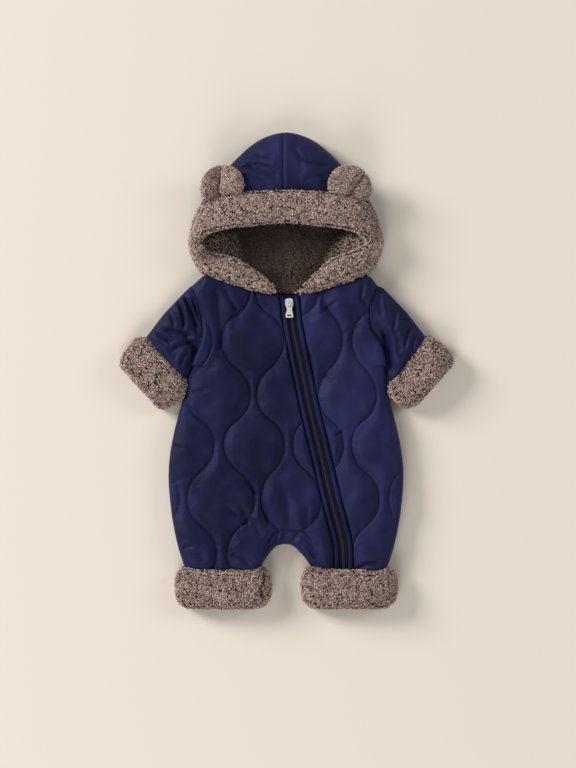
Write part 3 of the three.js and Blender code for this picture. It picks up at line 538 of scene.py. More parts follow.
def hem_drop(x):
    """How far a leg's hem bows over its cuff: a low arch for each leg, with one more fold in the left."""
    left = 5.4 * np.maximum(0, 1 - ((x - 92) / 52) ** 2) + 2.4 * np.exp(-(((x - 124) / 12) ** 2)) * (x < 143)
    return np.where(x < 0, 5.0 * np.maximum(0, 1 - ((x + 88) / 52) ** 2), left * step(36, 44, x))


def bottom(x):
    """The lower edge: the hems of the legs, and the arch between them."""
    return np.where((x <= -36) | (x >= 35.5), HEM_Y - hem_drop(x), crotch(x))


def line_x(turns, y):
    """x of a stitch line: from one turn to the next it follows two equal arcs that meet half way, so that the puffs
    between two lines are nearly round. An arc's radius is (drop^2 / 4 + swing^2) / (2 swing)."""
    turns = np.array(turns, float)
    i = np.clip(np.searchsorted(-TURN_Y, -np.asarray(y, float)) - 1, 0, len(TURN_Y) - 2)
    drop = TURN_Y[i] - TURN_Y[i + 1]
    swing = (turns[i + 1] - turns[i]) / 2
    t = np.clip((TURN_Y[i] - y) / drop, 0, 1)
    size = np.maximum(np.abs(swing), 0.01)
    radius = (drop**2 / 4 + size**2) / (2 * size)
    off = np.sign(swing) * (radius - np.sqrt(radius**2 - (np.minimum(t, 1 - t) * drop) ** 2))
    return np.where(t < 0.5, turns[i] + off, turns[i + 1] - off)


def zip_slant(y):
    """How much wider a strip along the zip is when it is measured level: sqrt(1 + slope^2)."""
    return np.hypot(1, (zip_x(y + 2) - zip_x(y - 2)) / 4)


def row_y(x_of, top, low, share):
    """The y that lies the given share of the way down from top(x) to low(x) in a column whose x depends on y,
    found by halving 34 times."""
    a, b = np.full(share.shape, -285.0), np.full(share.shape, 140.0)
    for _ in range(34):
        y = (a + b) / 2
        x = x_of(y)
        high = y > top(x) + (low(x) - top(x)) * share
        a, b = np.where(high, a, y), np.where(high, y, b)
    return (a + b) / 2


print("stitch lines:", len(LINES_RIGHT) + 1, "right,", len(LINES_LEFT), "left")

# %% [markdown]
# ## Creases placed one by one
# Real creases are uneven, so each one is listed: a chain of points with a half width and a depth. A
# simulation would make creases too, but not at these places.

# %% Creases of the front
CREASES = [
    # half width, depth, points from one end to the other
    (6.0, 3.2, [(-101, 122), (-96, 96), (-93, 70), (-92, 40), (-95, 14)]),
    (3.2, 3.2, [(-87, 118), (-78, 97), (-66, 77)]),
    (2.6, 2.6, [(-133, -32), (-122, -29), (-111, -29)]),
    (2.4, 2.2, [(-157, -105), (-143, -111)]),
    (2.6, 2.6, [(-145, -252), (-139, -247), (-130, -246)]),
    (4.6, 4.0, [(-121, -251), (-119, -260), (-117, -270)]),
    (5.0, 3.2, [(-77, -254), (-62, -261), (-48, -273)]),
    (2.6, 2.2, [(-82, -188), (-74, -197), (-64, -205)]),
    (4.4, 2.6, [(-62, -193), (-55, -208), (-52, -218)]),
    (2.6, 1.5, [(-60, -149), (-50, -162), (-38, -179)]),
    (3.0, 2.4, [(-49, -205), (-41, -220), (-33, -236)]),
    (2.6, 1.4, [(-34, -180), (-28, -200), (-23, -222)]),
    (6.0, 3.0, [(-5, -166), (1, -192), (5, -222)]),
    (2.0, 1.8, [(-134, -157), (-128, -161), (-122, -161)]),
    (2.6, 2.0, [(50, 96), (52, 84), (60, 88), (73, 97)]),
    (3.0, 2.6, [(108, 122), (104, 100), (117, 88)]),
    (3.2, 2.0, [(32, -188), (25, -221)]),
    (1.8, 1.8, [(53, -4), (58, -12), (68, -17)]),
    (1.8, 1.9, [(69, -92), (73, -88), (81, -85)]),
    (3.0, 1.6, [(103, -277), (115, -270), (132, -270)]),
    (1.6, 0.9, [(127, -78), (148, -84)]),
    (1.6, 0.9, [(126, -88), (147, -93)]),
    (1.6, 0.9, [(128, -98), (149, -104)]),
]


def creases(x, y, rows):
    """Sum of the strokes: a valley exp(-(d/w)^2) that fades to both ends, and a lower ridge beside it."""
    out = np.zeros(np.broadcast(x, y).shape)
    for wide, deep, points in rows:
        d, t, side = stroke_distance(x, y, points)
        ends = step(0, 0.22, t) * step(0, 0.22, 1 - t) * 0.85 + 0.15
        out -= deep * np.exp(-((d / wide) ** 2)) * ends
        out += 0.45 * deep * np.exp(-(((d - 2.1 * wide) / (1.2 * wide)) ** 2)) * (side > 0) * ends
    return out


def smooth_chain(points, steps=12, closed=False):
    """A chain with rounded corners through the points. Between b and c, with neighbours a and d, it is the cubic
    (Catmull-Rom) whose slope at b is (c - a) / 2 and at c is (d - b) / 2."""
    p = np.array([points[-1], *points, *points[:2]] if closed else [points[0], *points, points[-1]], float)
    t = (np.arange(steps) / steps)[:, None]
    out = [0.5 * (2 * b + (c - a) * t + (2 * a - 5 * b + 4 * c - d) * t**2 + (3 * b - 3 * c + d - a) * t**3)
           for a, b, c, d in zip(p, p[1:], p[2:], p[3:])]
    return np.concatenate(out if closed else out + [p[-1:]])


LOT = 8000  # points that are compared with a whole chain at once


def seam_distance(x, y, chain):
    """Distance to a dense chain of points and the length along it, from the two pieces beside the nearest point."""
    p = np.asarray(chain, np.float32)
    run = np.concatenate([[0], np.cumsum(np.hypot(*np.diff(p, axis=0).T))])
    fx, fy = np.float32(x).ravel(), np.float32(y).ravel()
    best, along = np.full(len(fx), 1e9), np.zeros(len(fx))
    lots = [slice(k, k + LOT) for k in range(0, len(fx), LOT)]
    near = np.concatenate([np.argmin((fx[q, None] - p[:, 0]) ** 2 + (fy[q, None] - p[:, 1]) ** 2, 1) for q in lots])
    for back in (1, 0):
        i = np.clip(near - back, 0, len(p) - 2)
        d = p[i + 1] - p[i]
        t = np.clip(((fx - p[i, 0]) * d[:, 0] + (fy - p[i, 1]) * d[:, 1]) / np.maximum((d**2).sum(1), 1e-9), 0, 1)
        q = np.hypot(fx - p[i, 0] - t * d[:, 0], fy - p[i, 1] - t * d[:, 1])
        along = np.where(q < best, lerp(run[i], run[i + 1], t), along)
        best = np.minimum(best, q)
    return best.reshape(np.shape(x)), along.reshape(np.shape(x))


CROTCH_CHAIN = smooth_chain(CROTCH_ARC)
ARC_CHAINS = [smooth_chain(c) for c in ARCS]


def quilt_chain(turns):
    """A stitch line as points every 1.2 mm down the front. It ends where it meets the arc over the crotch."""
    y = np.arange(136, -282, -1.2)
    x = line_x(turns, y)
    cut = (seam_distance(x, y, CROTCH_CHAIN)[0] < 1.6) & (y < -200)
    end = np.argmax(cut) if cut.any() else len(y)
    return np.column_stack([x, y])[:max(end, 2)]


QUILT = {-1: [quilt_chain(t) for t in [SIDE_LINE] + LINES_RIGHT], 1: [quilt_chain(t) for t in LINES_LEFT]}
print("creases:", len(CREASES), "points of the stitch lines:", sum(len(c) for side in QUILT.values() for c in side))

# %% [markdown]
# ## Front panels
# Padding rises from every stitch line. Thread that is a little too short gathers the cloth, so small puckers run
# along each line and die out about 12 mm from it. Columns of points follow the stitch lines, so each groove stays
# sharp with a moderate number of faces. A plain grid would need many more for that.

# %% Height of the padding
def seam_side(x, y):
    """How far a point lies below the arc over the crotch: negative above it, and -1 to either side of the arc."""
    top = np.interp(x, CROTCH_CHAIN[:, 0], CROTCH_CHAIN[:, 1])
    return np.where((x > CROTCH_CHAIN[0, 0]) & (x < CROTCH_CHAIN[-1, 0]), top - y, -1.0)


def padding(x, y, hand, outside):
    """Height of the padding away from the seams. From the thread of each stitch line a puff rises steeply for 2 mm
    and then as a parabola for about 24 mm. Puckers, gathers, creases and slow waves are added."""
    near, along = np.full(x.shape, 99.0), np.zeros(x.shape)
    for chain in QUILT[hand]:
        d, s = seam_distance(x, y, chain)
        along = np.where(d < near, s, along)
        near = np.minimum(near, d)
    arc = seam_distance(x, y, CROTCH_CHAIN)[0]
    minor = np.minimum.reduce([seam_distance(x, y, chain)[0] for chain in ARC_CHAINS])
    line = np.minimum(near, arc)
    steep = 0.24 if hand < 0 else 0.15  # the share of a puff's height that stands right beside the thread
    slow = 1 - (1 - np.clip(line / (24 + 3 * waves(x, y, 60, 4)), 0, 1)) ** 2
    groove = steep * (1 - np.exp(-((line / 1.7) ** 2))) + (1 - steep) * slow
    groove *= 1 - 0.34 * np.exp(-((minor / 4) ** 2))
    sharp = -0.4 * np.exp(-((line / 0.9) ** 2)) - 0.9 * np.exp(-((minor / 1.3) ** 2))
    sharp -= 1.0 * np.exp(-((arc / 1.4) ** 2))
    pucker = np.sin(along / 1.5 + 2.2 * waves(x, y, 30, 5)) * np.exp(-((near - 3.2) / 3.2) ** 2) * 0.17
    pucker += np.sin(along / 3.1 + 3 * waves(x, y, 50, 6)) * np.exp(-((near - 6) / 6) ** 2) * 0.30
    loose = (1.9 * waves(x, y, 75, 7) + 0.8 * waves(x, y, 36, 8)) * step(1, 14, line)
    loose += 2.4 * np.exp(-(((x + 106) / 9) ** 2)) * step(-10, 30, y)  # a ridge below the right armhole
    loose += 3.5 * (1 - np.exp(-((outside / 50) ** 2)))  # fuller away from the zip
    inside = step(0, 5, arc) * (seam_side(x, y) > 0)
    gather = np.sin(np.arctan2(y + 285, x - 4) * 26 + 1.5 * waves(x, y, 30, 9)) * inside * 1.1
    return (PADDING_TOP + PUFF * groove + sharp + pucker + loose + gather - 3.0 * inside
            + 1.6 * creases(x, y, CREASES))


# %% Height of the front
def front_height(x, y, hand):
    """Height of a quilted front: the padding, whose edges roll down to the seams as quarter rounds, with a flat
    channel for the zip."""
    band = np.abs(x - zip_x(y)) / zip_slant(y)
    outside = np.maximum(band - BAND, 0)
    plump = padding(x, y, hand, outside)
    side = x - side_right(y) if hand < 0 else side_left(y) - x
    to_side = np.where(y > ARMHOLE_Y, lerp(0.62, 1, dome(side / 9)), dome(side / (46 if hand < 0 else 28), 2.2))
    side_tuck = 0.5 * np.sin(y / 2.1 + 2 * waves(x, y, 60, 12)) * np.exp(-side / 7) * step(-20, -60, y)
    below, above = top_front(x) - y, y - bottom(x)
    to_top = np.where(np.abs(x) > SHOULDER_X, dome(below / 18), lerp(0.72, 1, dome(below / 10)))
    to_hem = np.where(np.abs(x) < LEG_X, dome(above / 14), lerp(0.55, 1, dome(above / 9)))
    hem_gather = np.sin(x / 1.9 + waves(x, y, 25, 9)) * np.exp(-above / 6) * 0.5 * (np.abs(x) >= LEG_X)
    neck_gather = np.sin(x / 2.3 + waves(x, y, 30, 10)) * np.exp(-below / 5) * 0.35
    full = lerp(EDGE_TOP, plump + hem_gather + neck_gather + side_tuck, np.minimum(to_side, 1) * to_top * to_hem)
    fine = 0.25 * np.sin(y / 1.7) * np.exp(-outside / 3)  # puckers of the seam beside the zip
    beside = lerp(CHANNEL_TOP + 2.2, 33, dome((band - BAND) / 22, 1.6)) + fine
    return np.where(band < BAND + 0.05, np.minimum(full, CHANNEL_TOP), np.minimum(full, beside))


# %% The two front panels
def front_columns(right):
    """x of every column as a function of y: columns follow the stitch lines, so each groove is a line of points."""
    hand = -1 if right else 1
    lines = LINES_RIGHT if right else LINES_LEFT

    def rails(y):
        """x of the lines that the columns are spread between, in order from the wearer's right, at each y."""
        slant, mid = zip_slant(y), zip_x(y)
        near = [mid + hand * 0.25, mid + hand * BAND * slant, mid + hand * (BAND + 1.6) * slant]
        edge = side_right(y) if right else side_left(y)
        lo, hi = (edge + 12, near[2] - 2) if right else (near[2] + 2, edge - 12)
        xs = [np.clip(line_x(w, y), lo, hi) for w in lines]
        n = len(xs) - 1
        xs = [np.maximum(np.minimum(v, hi - 1.2 * (n - k)), lo + 1.2 * k) for k, v in enumerate(xs)]
        if right:
            return np.stack([edge, edge + 3, edge + 9, *xs, near[2], near[1], near[0]])
        return np.stack([near[0], near[1], near[2], *xs, edge - 9, edge - 3, edge])
    return rails


def front(node, right):
    """A front panel: fine top over a flat underside of one face. Columns stand closer together near each stitch
    line, by a sine of their place between two lines, and rows are closer at both ends."""
    rails = front_columns(right)
    # columns between each line that they follow and the next, and the rows' shares of the way down
    cells = [3, 4, 12, 30, 30, 30, 14, 2, 4] if right else [4, 2, 14, 26, 30, 24, 10, 4, 3]
    rail = np.concatenate([np.full(n, k) for k, n in enumerate(cells)] + [[len(cells) - 1]])
    part = np.concatenate([np.arange(n) / n for n in cells] + [[1.0]])
    part = part - np.sin(2 * np.pi * part) * 0.1 * np.array([n > 8 for n in cells] + [False])[rail]
    share = np.concatenate([np.linspace(0, 0.024, 8)[:-1], np.linspace(0.024, 0.976, 250),
                            np.linspace(0.976, 1, 8)[1:]])
    shape = (len(share), len(rail))
    K, T = np.broadcast_to(rail, shape), np.broadcast_to(part, shape)
    I, J = np.indices(shape)

    def x_of(y):
        """x of every point in its column, at the height y."""
        r = rails(y)
        return lerp(r[K, I, J], r[K + 1, I, J], T)
    y = row_y(x_of, top_front, bottom, np.broadcast_to(share[:, None], shape))
    x = x_of(y)
    z = front_height(x, y, -1 if right else 1)
    verts = np.stack([x, y, z], -1)
    r, c = shape
    n = np.arange(r * c).reshape(r, c)
    ring = np.concatenate([n[0, :-1], n[:-1, -1], n[-1, :0:-1], n[:0:-1, 0]])
    low = verts.reshape(-1, 3)[ring].copy()
    low[:, 2] = FRONT_UNDER + 0.1
    m = len(ring)
    faces = grid_faces(r, c).tolist()
    faces += [[int(ring[(i + 1) % m]), int(ring[i]), r * c + i, r * c + (i + 1) % m] for i in range(m)]
    faces.append([r * c + i for i in range(m)][::-1])
    ob = build("panel_" + node, [(np.concatenate([verts.reshape(-1, 3), low]), faces)], shell_looks[node], node)
    return ob


panel_right = front("front_right", True)
panel_left = front("front_left", False)
print("points of the fronts:", len(panel_right.data.vertices), len(panel_left.data.vertices))

# %% [markdown]
# ## Stitches
# Thread lies in each groove as short rounded grains, 2.2 mm long every 3.2 mm. There are thousands of them, so each
# grain has twelve faces and no more.

# %% Grains of thread in the quilting
def stitches(name, chains, z_of, pitch=3.2, length=2.2, wide=0.42, tall=0.3, lift=0.15):
    """Grains laid along chains of points: two end points with two rings of four points at a quarter and at three
    quarters of the length between them. z_of(x, y) is the height of the cloth."""
    verts, faces, start = [], [], 0
    for chain in chains:
        p = np.array(chain, float)
        seg = np.hypot(*np.diff(p, axis=0).T)
        run = np.concatenate([[0], np.cumsum(seg)])
        s = np.arange(pitch * 0.5, run[-1] - length * 0.5, pitch)
        if not len(s):
            continue
        a, b = (np.stack([np.interp(q, run, p[:, k]) for k in (0, 1)], -1) for q in (s - length / 2, s + length / 2))
        d = (b - a) / np.maximum(1e-6, np.hypot(*(b - a).T))[:, None]
        side = np.stack([-d[:, 1], d[:, 0]], -1)
        za, zb = z_of(a[:, 0], a[:, 1]), z_of(b[:, 0], b[:, 1])
        za, zb = np.maximum(za, (za + zb) / 2 - 0.4), np.maximum(zb, (za + zb) / 2 - 0.4)
        ring = []
        for f in (0.25, 0.75):
            c, z = lerp(a, b, f), lerp(za, zb, f) + lift
            ring += [np.column_stack([c + side * wide, z]), np.column_stack([c, z + tall]),
                     np.column_stack([c - side * wide, z]), np.column_stack([c, z - tall])]
        pts = np.stack([np.column_stack([a, za - 0.05]), *ring, np.column_stack([b, zb - 0.05])], 1)
        base = start + 10 * np.arange(len(s))
        one = [[0, 2, 1], [0, 3, 2], [0, 4, 3], [0, 1, 4], [1, 2, 6, 5], [2, 3, 7, 6], [3, 4, 8, 7], [4, 1, 5, 8],
               [9, 5, 6], [9, 6, 7], [9, 7, 8], [9, 8, 5]]
        faces += [[int(o + i) for i in q] for o in base for q in one]
        verts.append(pts.reshape(-1, 3))
        start += 10 * len(s)
    return build(name, [(np.concatenate(verts), faces)], thread.mat, flip=False)


def inside_front(x, y, hand):
    """True where a stitch line shows: 5 mm clear of the side, 2 mm of the zip's channel and 3 mm of the ends."""
    band = (x - zip_x(y)) / zip_slant(y) * hand
    side = x - side_right(y) if hand < 0 else side_left(y) - x
    return (y < top_front(x) - 3) & (y > bottom(x) + 3) & (side > 5) & (band > BAND + 2)


for word, hand in (("right", -1), ("left", 1)):
    chains = []
    for chain in QUILT[hand] + [CROTCH_CHAIN] + ARC_CHAINS:
        ok = inside_front(chain[:, 0], chain[:, 1], hand)
        for piece in np.split(np.arange(len(ok)), np.where(np.diff(ok.astype(int)) != 0)[0] + 1):
            if len(piece) > 4 and ok[piece[0]]:
                chains.append(chain[piece])
    ob = stitches("quilting_" + word, chains, lambda x, y: front_height(x, y, hand))
    print("grains of thread,", word, "side:", len(ob.data.vertices) // 10)

# %% [markdown]
# ## Back
# It rests on the surface, so its underside is flat, with the quilting as shallow grooves that go upwards. Puffs that
# hang below the surface would lift the whole suit.

# %% Back
def back_piece():
    """The back: a flat underside whose free edges roll up as a quarter round of 12 mm, and a plain upper face."""
    inset = np.array([0, 1, 2.2, 4, 6, 8.5, 12])
    mid = np.linspace(0, 1, 76)[1:-1]
    share = np.concatenate([[0, 0.003, 0.006, 0.012, 0.018, 0.024, 0.032], np.linspace(0.04, 0.97, 90),
                            [0.976, 0.982, 0.988, 0.993, 0.997, 1]])
    cols = len(inset) * 2 + len(mid)

    def grid(shares, height):
        """Points in rows at shares of the way down. The columns near both sides keep their distance from the edge."""
        shape = (len(shares), cols)
        C, k = np.broadcast_to(np.arange(cols), shape), len(inset)

        def x_of(y):
            l, r = side_right(y), side_left(y)
            a = l + inset[np.clip(C, 0, k - 1)]
            b = r - inset[np.clip(cols - 1 - C, 0, k - 1)]
            m = lerp(l + inset[-1], r - inset[-1], mid[np.clip(C - k, 0, len(mid) - 1)])
            return np.where(C < k, a, np.where(C >= cols - k, b, m))
        y = row_y(x_of, top_back, bottom, np.broadcast_to(shares[:, None], shape))
        x = x_of(y)
        return np.stack([x, y, height(x, y)], -1)

    def under(x, y):
        """Height of the underside: 0, 11 mm at the free edges, and up to 1.6 mm in the grooves of the quilting."""
        def rolled(d, wide=12):
            """Height of an edge that rolls up, by distance from the edge."""
            return 11 * (1 - dome(d / wide))
        lift = rolled(np.minimum(x - side_right(y), side_left(y) - x), np.where(y > ARMHOLE_Y, 3, 12))
        lift = np.where(np.abs(x) > SHOULDER_X, np.maximum(lift, rolled(top_back(x) - y)), lift)
        lift = np.where(np.abs(x) < LEG_X, np.maximum(lift, rolled(y - bottom(x))), lift)
        near = np.full(x.shape, 99.0)
        for w in LINES_RIGHT + LINES_LEFT[1:]:
            slope = (line_x(w, y + 1) - line_x(w, y - 1)) / 2
            near = np.minimum(near, np.abs(x - line_x(w, y)) / np.hypot(1, slope))
        quilt = 1.1 * np.exp(-((near / 3.2) ** 2)) + 0.5 * np.exp(-((near / 1.2) ** 2))
        return np.maximum(lift, quilt)

    def over(x, y):
        """Height of the upper face: 0.3 mm under the front, and down to 2.5 mm at the neck seam."""
        z = lerp(2.5, BACK_TOP, step(0, 18, top_back(x) - y + 9 * step(106, 118, np.abs(x))))
        return np.where(np.abs(x) > 118, BACK_TOP, z)
    parts = [wall(grid(share, under), grid(np.append(share[::4], 1.0), over))]
    ob = build("panel_back", parts, shell_looks["back"], "back")
    return ob


panel_back = back_piece()
print("points of the back:", len(panel_back.data.vertices))

# %% [markdown]
# ## Sleeves
# A sleeve is a flattened tube from the armhole to the cuff with a thin slit inside. Its creases fan out from the
# armhole. Two flat halves could be sewn together instead, but one tube has no seam to close.

# %% Creases of the sleeves
SLEEVE_CREASES = [
    # half width, depth, points from one end to the other
    (2.6, 3.6, [(-154, 103), (-146, 86), (-142, 66), (-146, 50)]),
    (2.6, 3.4, [(-143, 109), (-136, 90), (-129, 72), (-124, 52)]),
    (2.2, 2.6, [(-131, 100), (-126, 84), (-120, 70)]),
    (2.6, 3.0, [(-172, 58), (-154, 55), (-138, 50), (-124, 46)]),
    (5.0, 4.6, [(-142, 52), (-136, 42), (-129, 30), (-126, 20)]),
    (2.6, 3.0, [(-162, 26), (-150, 34), (-138, 38), (-124, 38)]),
    (2.4, 2.6, [(-148, 4), (-144, 18), (-134, 30)]),
    (4.5, 5.0, [(-121, 48), (-126, 30), (-133, 12), (-138, -4)]),
    (2.2, 2.0, [(-184, 52), (-170, 46), (-160, 36)]),
    (2.0, 1.8, [(-165, 84), (-158, 70), (-156, 58)]),
    (6.0, 6.5, [(134, 62), (140, 44), (144, 20), (146, -8)]),
    (5.0, 2.8, [(150, 60), (156, 40), (158, 16)]),
    (2.8, 2.2, [(158, 92), (152, 72), (150, 54)]),
    (2.6, 2.2, [(132, 108), (130, 92), (134, 74)]),
    (2.6, 2.0, [(176, 62), (168, 46), (166, 28)]),
    (2.2, 1.6, [(188, 54), (178, 40), (174, 24)]),
]
print("creases of the sleeves:", len(SLEEVE_CREASES))


# %% Sleeves
def sleeve(node, right):
    """Points by a share s from armhole to cuff and c across: a blend of the four edge lines. The top is a
    superellipse of power 2.6 over the seam plane, the underside one of power 9, so it rests flat."""
    hand, low = (-1, 4) if right else (1, -4)
    rows = np.linspace(118, low, 30)
    edge = side_right(rows) - 0.4 if right else side_left(rows) + 0.4
    hole = table(list(zip(rows, edge)), True)
    outer = np.array([(abs(float(hole(118))), 118), (136, 115.2), (150, 101), (170, 80), (183, 63), (197, 44.5)])
    ends = np.array([(-196.6, 43.4), (-141.6, -15.6)] if right else [(196.4, 43.8), (147, -19.4)], float)

    def point(s, c):
        """x and y at share s from the armhole to the cuff and c from the upper edge to the lower."""
        y0 = lerp(118, low, c)
        a = np.stack([hole(y0), y0], -1)
        b = lerp(ends[0], ends[1], c[..., None])
        k = [0, 0.07, 0.25, 0.5, 0.75, 1]
        want = np.stack([hand * np.interp(s, k, outer[:, 0]), np.interp(s, k, outer[:, 1])], -1)
        top = lerp(np.array([float(hole(118)), 118.0]), ends[0], s[..., None])
        return lerp(a, b, s[..., None]) + (want - top) * (1 - c[..., None])
    across = 60
    t = np.arange(across) / across
    up = 0.5 - 0.5 * np.cos(np.pi * t)
    c_all = np.concatenate([up, 1 - up])
    above = np.concatenate([np.ones(across, bool), np.zeros(across, bool)])

    def rings(shares, inset, inside):
        """Rings of points at shares of the way to the cuff: the cloth itself, or the slit inside it."""
        s = np.broadcast_to(np.asarray(shares, float)[:, None], (len(shares), 2 * across))
        c = np.broadcast_to(lerp(inset, 1 - inset, c_all), s.shape)
        xy = point(s, c)
        x, y = xy[..., 0], xy[..., 1]
        e = np.abs(2 * c - 1)
        if inside:
            z = FRONT_UNDER + np.where(above, 0.3, -0.3) * np.where(e > 0.86, 0.5, 1)
        else:
            high = lerp(26, 31, step(0, 0.35, s)) - 4 * step(0.85, 1, s)
            round_top = np.maximum(0, 1 - e**2.6) ** (1 / 2.6)
            fine = 1.6 * creases(x, y, SLEEVE_CREASES) + 0.6 * waves(x, y, 30, 21) + 0.25 * waves(x, y, 11, 22)
            at_cuff = 0.7 * np.sin(c * 95 + waves(x, y, 20, 23)) * step(0.8, 1, s)
            at_armhole = 0.5 * np.sin(c * 70 + waves(x, y, 20, 24)) * step(0.14, 0, s)
            relief = (fine + (at_cuff + at_armhole)) * np.minimum(1, 1.4 * round_top)
            top = FRONT_UNDER + (high - FRONT_UNDER + relief) * round_top
            z = np.where(above, top, FRONT_UNDER * (1 - np.maximum(0, 1 - e**9) ** (1 / 9)))
        return np.concatenate([xy, z[..., None]], -1)
    loops = np.concatenate([rings(np.linspace(0, 1, 74), 0, False), rings([1, 0.66, 0.33, 0], 0.07, True)])
    ob = build("shell_" + node, [tube(loops)], shell_looks[node], node)
    print("points of", node + ":", len(ob.data.vertices))


sleeve("sleeve_right", True)
sleeve("sleeve_left", False)

# %% [markdown]
# ## Fleece
# A base form about 3 mm inside the solid carries the pile. Each tuft is a closed spike of three sides that bends
# over. Neighbouring tufts lean alike, by a slow field of directions, so that they clump as real pile does. Blender's
# hair would be quicker to make, but the exported model keeps meshes only.

# %% Where tufts stand
CUFF_SKIN, TRIM_SKIN, EAR_SKIN = 3.6, 3.2, 2.6  # how far the base forms lie inside the solids


def triangles_of(faces):
    """All faces as fans of triangles."""
    return np.array([(q[0], q[k], q[k + 1]) for q in faces for k in range(1, len(q) - 1)])


def scatter(part, count, rng, keep):
    """Random points on a form and the normals there, spread by area times keep(centre, normal)."""
    verts, faces = part
    tri = triangles_of(faces)
    a, b, c = (verts[tri[:, k]] for k in range(3))
    normal = np.cross(b - a, c - a)
    area = np.linalg.norm(normal, axis=1)
    if outward(verts, tri) < 0:
        normal = -normal
    weight = np.where(area > 1e-9, area, 0) * keep((a + b + c) / 3, normal / np.maximum(area, 1e-9)[:, None])
    pick = np.searchsorted(np.cumsum(weight) / weight.sum(), rng.random(count))
    u, v = rng.random(count), rng.random(count)
    u, v = np.where(u + v > 1, 1 - u, u), np.where(u + v > 1, 1 - v, v)
    root = a[pick] + (b - a)[pick] * u[:, None] + (c - a)[pick] * v[:, None]
    return root, normal[pick] / area[pick][:, None]


def nearest(points, centres):
    """For every point the number of the centre that lies nearest."""
    tree = KDTree(len(centres))
    for i, q in enumerate(centres):
        tree.insert(q, i)
    tree.balance()
    return np.array([tree.find(q)[1] for q in points])


# %% Pile
def pile(node, part, count, material, seed, keep, length=5.0, wide=0.60, flow=18.0, parting_and_shade=None):
    """Tufts over a base, each two three-sided spikes joined at a middle ring, at seeded random places. Every two
    roots or so form a clump: its tufts rise, bend over along a field of slow waves and draw together, so that dark
    gaps stay between clumps as in real pile. parting_and_shade(x, y), from 0 to 1, presses the pile down and
    paints it darker as shade, as along a fold or seam."""
    rng = np.random.default_rng(seed)
    root, n = scatter(part, count, rng, keep)
    clumps = count // 2
    home = nearest(root, root[:clumps])
    x, y, z = root.T
    field = np.stack([waves(x + 2 * z, y, flow, seed + 1), waves(x, y + 2 * z, flow, seed + 2),
                      waves(x + y, z * 2 + x, flow, seed + 3)], -1)
    lean = field[home] + rng.normal(0, 0.45, (clumps, 3))[home] + rng.normal(0, 0.22, (count, 3))
    lean -= n * np.einsum("ij,ij->i", lean, n)[:, None]
    lean /= np.maximum(1e-6, np.linalg.norm(lean, axis=1))[:, None]
    side = np.cross(n, lean)
    high = (length * rng.uniform(0.75, 1.2, clumps))[home][:, None]
    turn = rng.choice([-1, 1], clumps)[home][:, None]
    pressed_and_shaded = np.zeros(count) if parting_and_shade is None else parting_and_shade(x, y)
    up = (0.72 + 0.12 * rng.random((count, 1))) * (1 - 0.45 * pressed_and_shaded[:, None])
    pull = (root[home] - root) * 0.42
    middle = root + (n * up * 0.95 + lean * 0.24 + side * turn * 0.10) * high + pull * 0.25
    end = root + (n * up + lean * 0.66 - side * turn * 0.12) * high + pull * 0.55
    root = root - n * 0.4
    thick = wide * rng.uniform(0.75, 1.3, count)[:, None]
    rings = [middle + thick * (side * np.cos(w) + (n * 0.8 - lean * 0.3) * np.sin(w))
             for w in 2 * np.pi * (np.arange(3) / 3 + 0.25)]
    pts = np.stack([root, *rings, end], 1)
    pts[..., 2] = np.maximum(pts[..., 2], 0.4)  # no tuft goes into the surface that the suit lies on
    base = 5 * np.arange(count)[:, None]
    one = np.array([[0, 2, 1], [0, 3, 2], [0, 1, 3], [1, 2, 4], [2, 3, 4], [3, 1, 4]])
    tris = (base[:, :, None] + one[None]).reshape(-1, 3)
    ob = mesh_object("pile_" + node, pts.reshape(-1, 3), tris.tolist(), material)
    # painted shade: where the pile is pressed, its tips stay as dark as its roots and each tuft's colour is lowered
    tip = np.outer(np.minimum(1 - 0.95 * pressed_and_shaded, 1.35), [0, 0.5, 0.5, 0.5, 1.0]).ravel()
    tone_and_shade = np.repeat((rng.random(clumps)[home] * 0.35 + rng.random(count) * 0.65) * (1 - 0.6 * pressed_and_shaded), 5)
    for key, data in (("tip", tip), ("tone_and_shade", tone_and_shade)):
        ob.data.attributes.new(key, "FLOAT", "POINT").data.foreach_set("value", data.astype(np.float32))
    print("tufts on", node + ":", count)


def few(count):
    """The number of tufts, as given."""
    return count


# %% [markdown]
# ## Cuffs
# Thick flattened tubes of doubled fleece with rounded rims. Their two sides nearly touch, as on an empty suit. A
# rounded box would do from above, but the mouth of the cuff shows from below the hems.

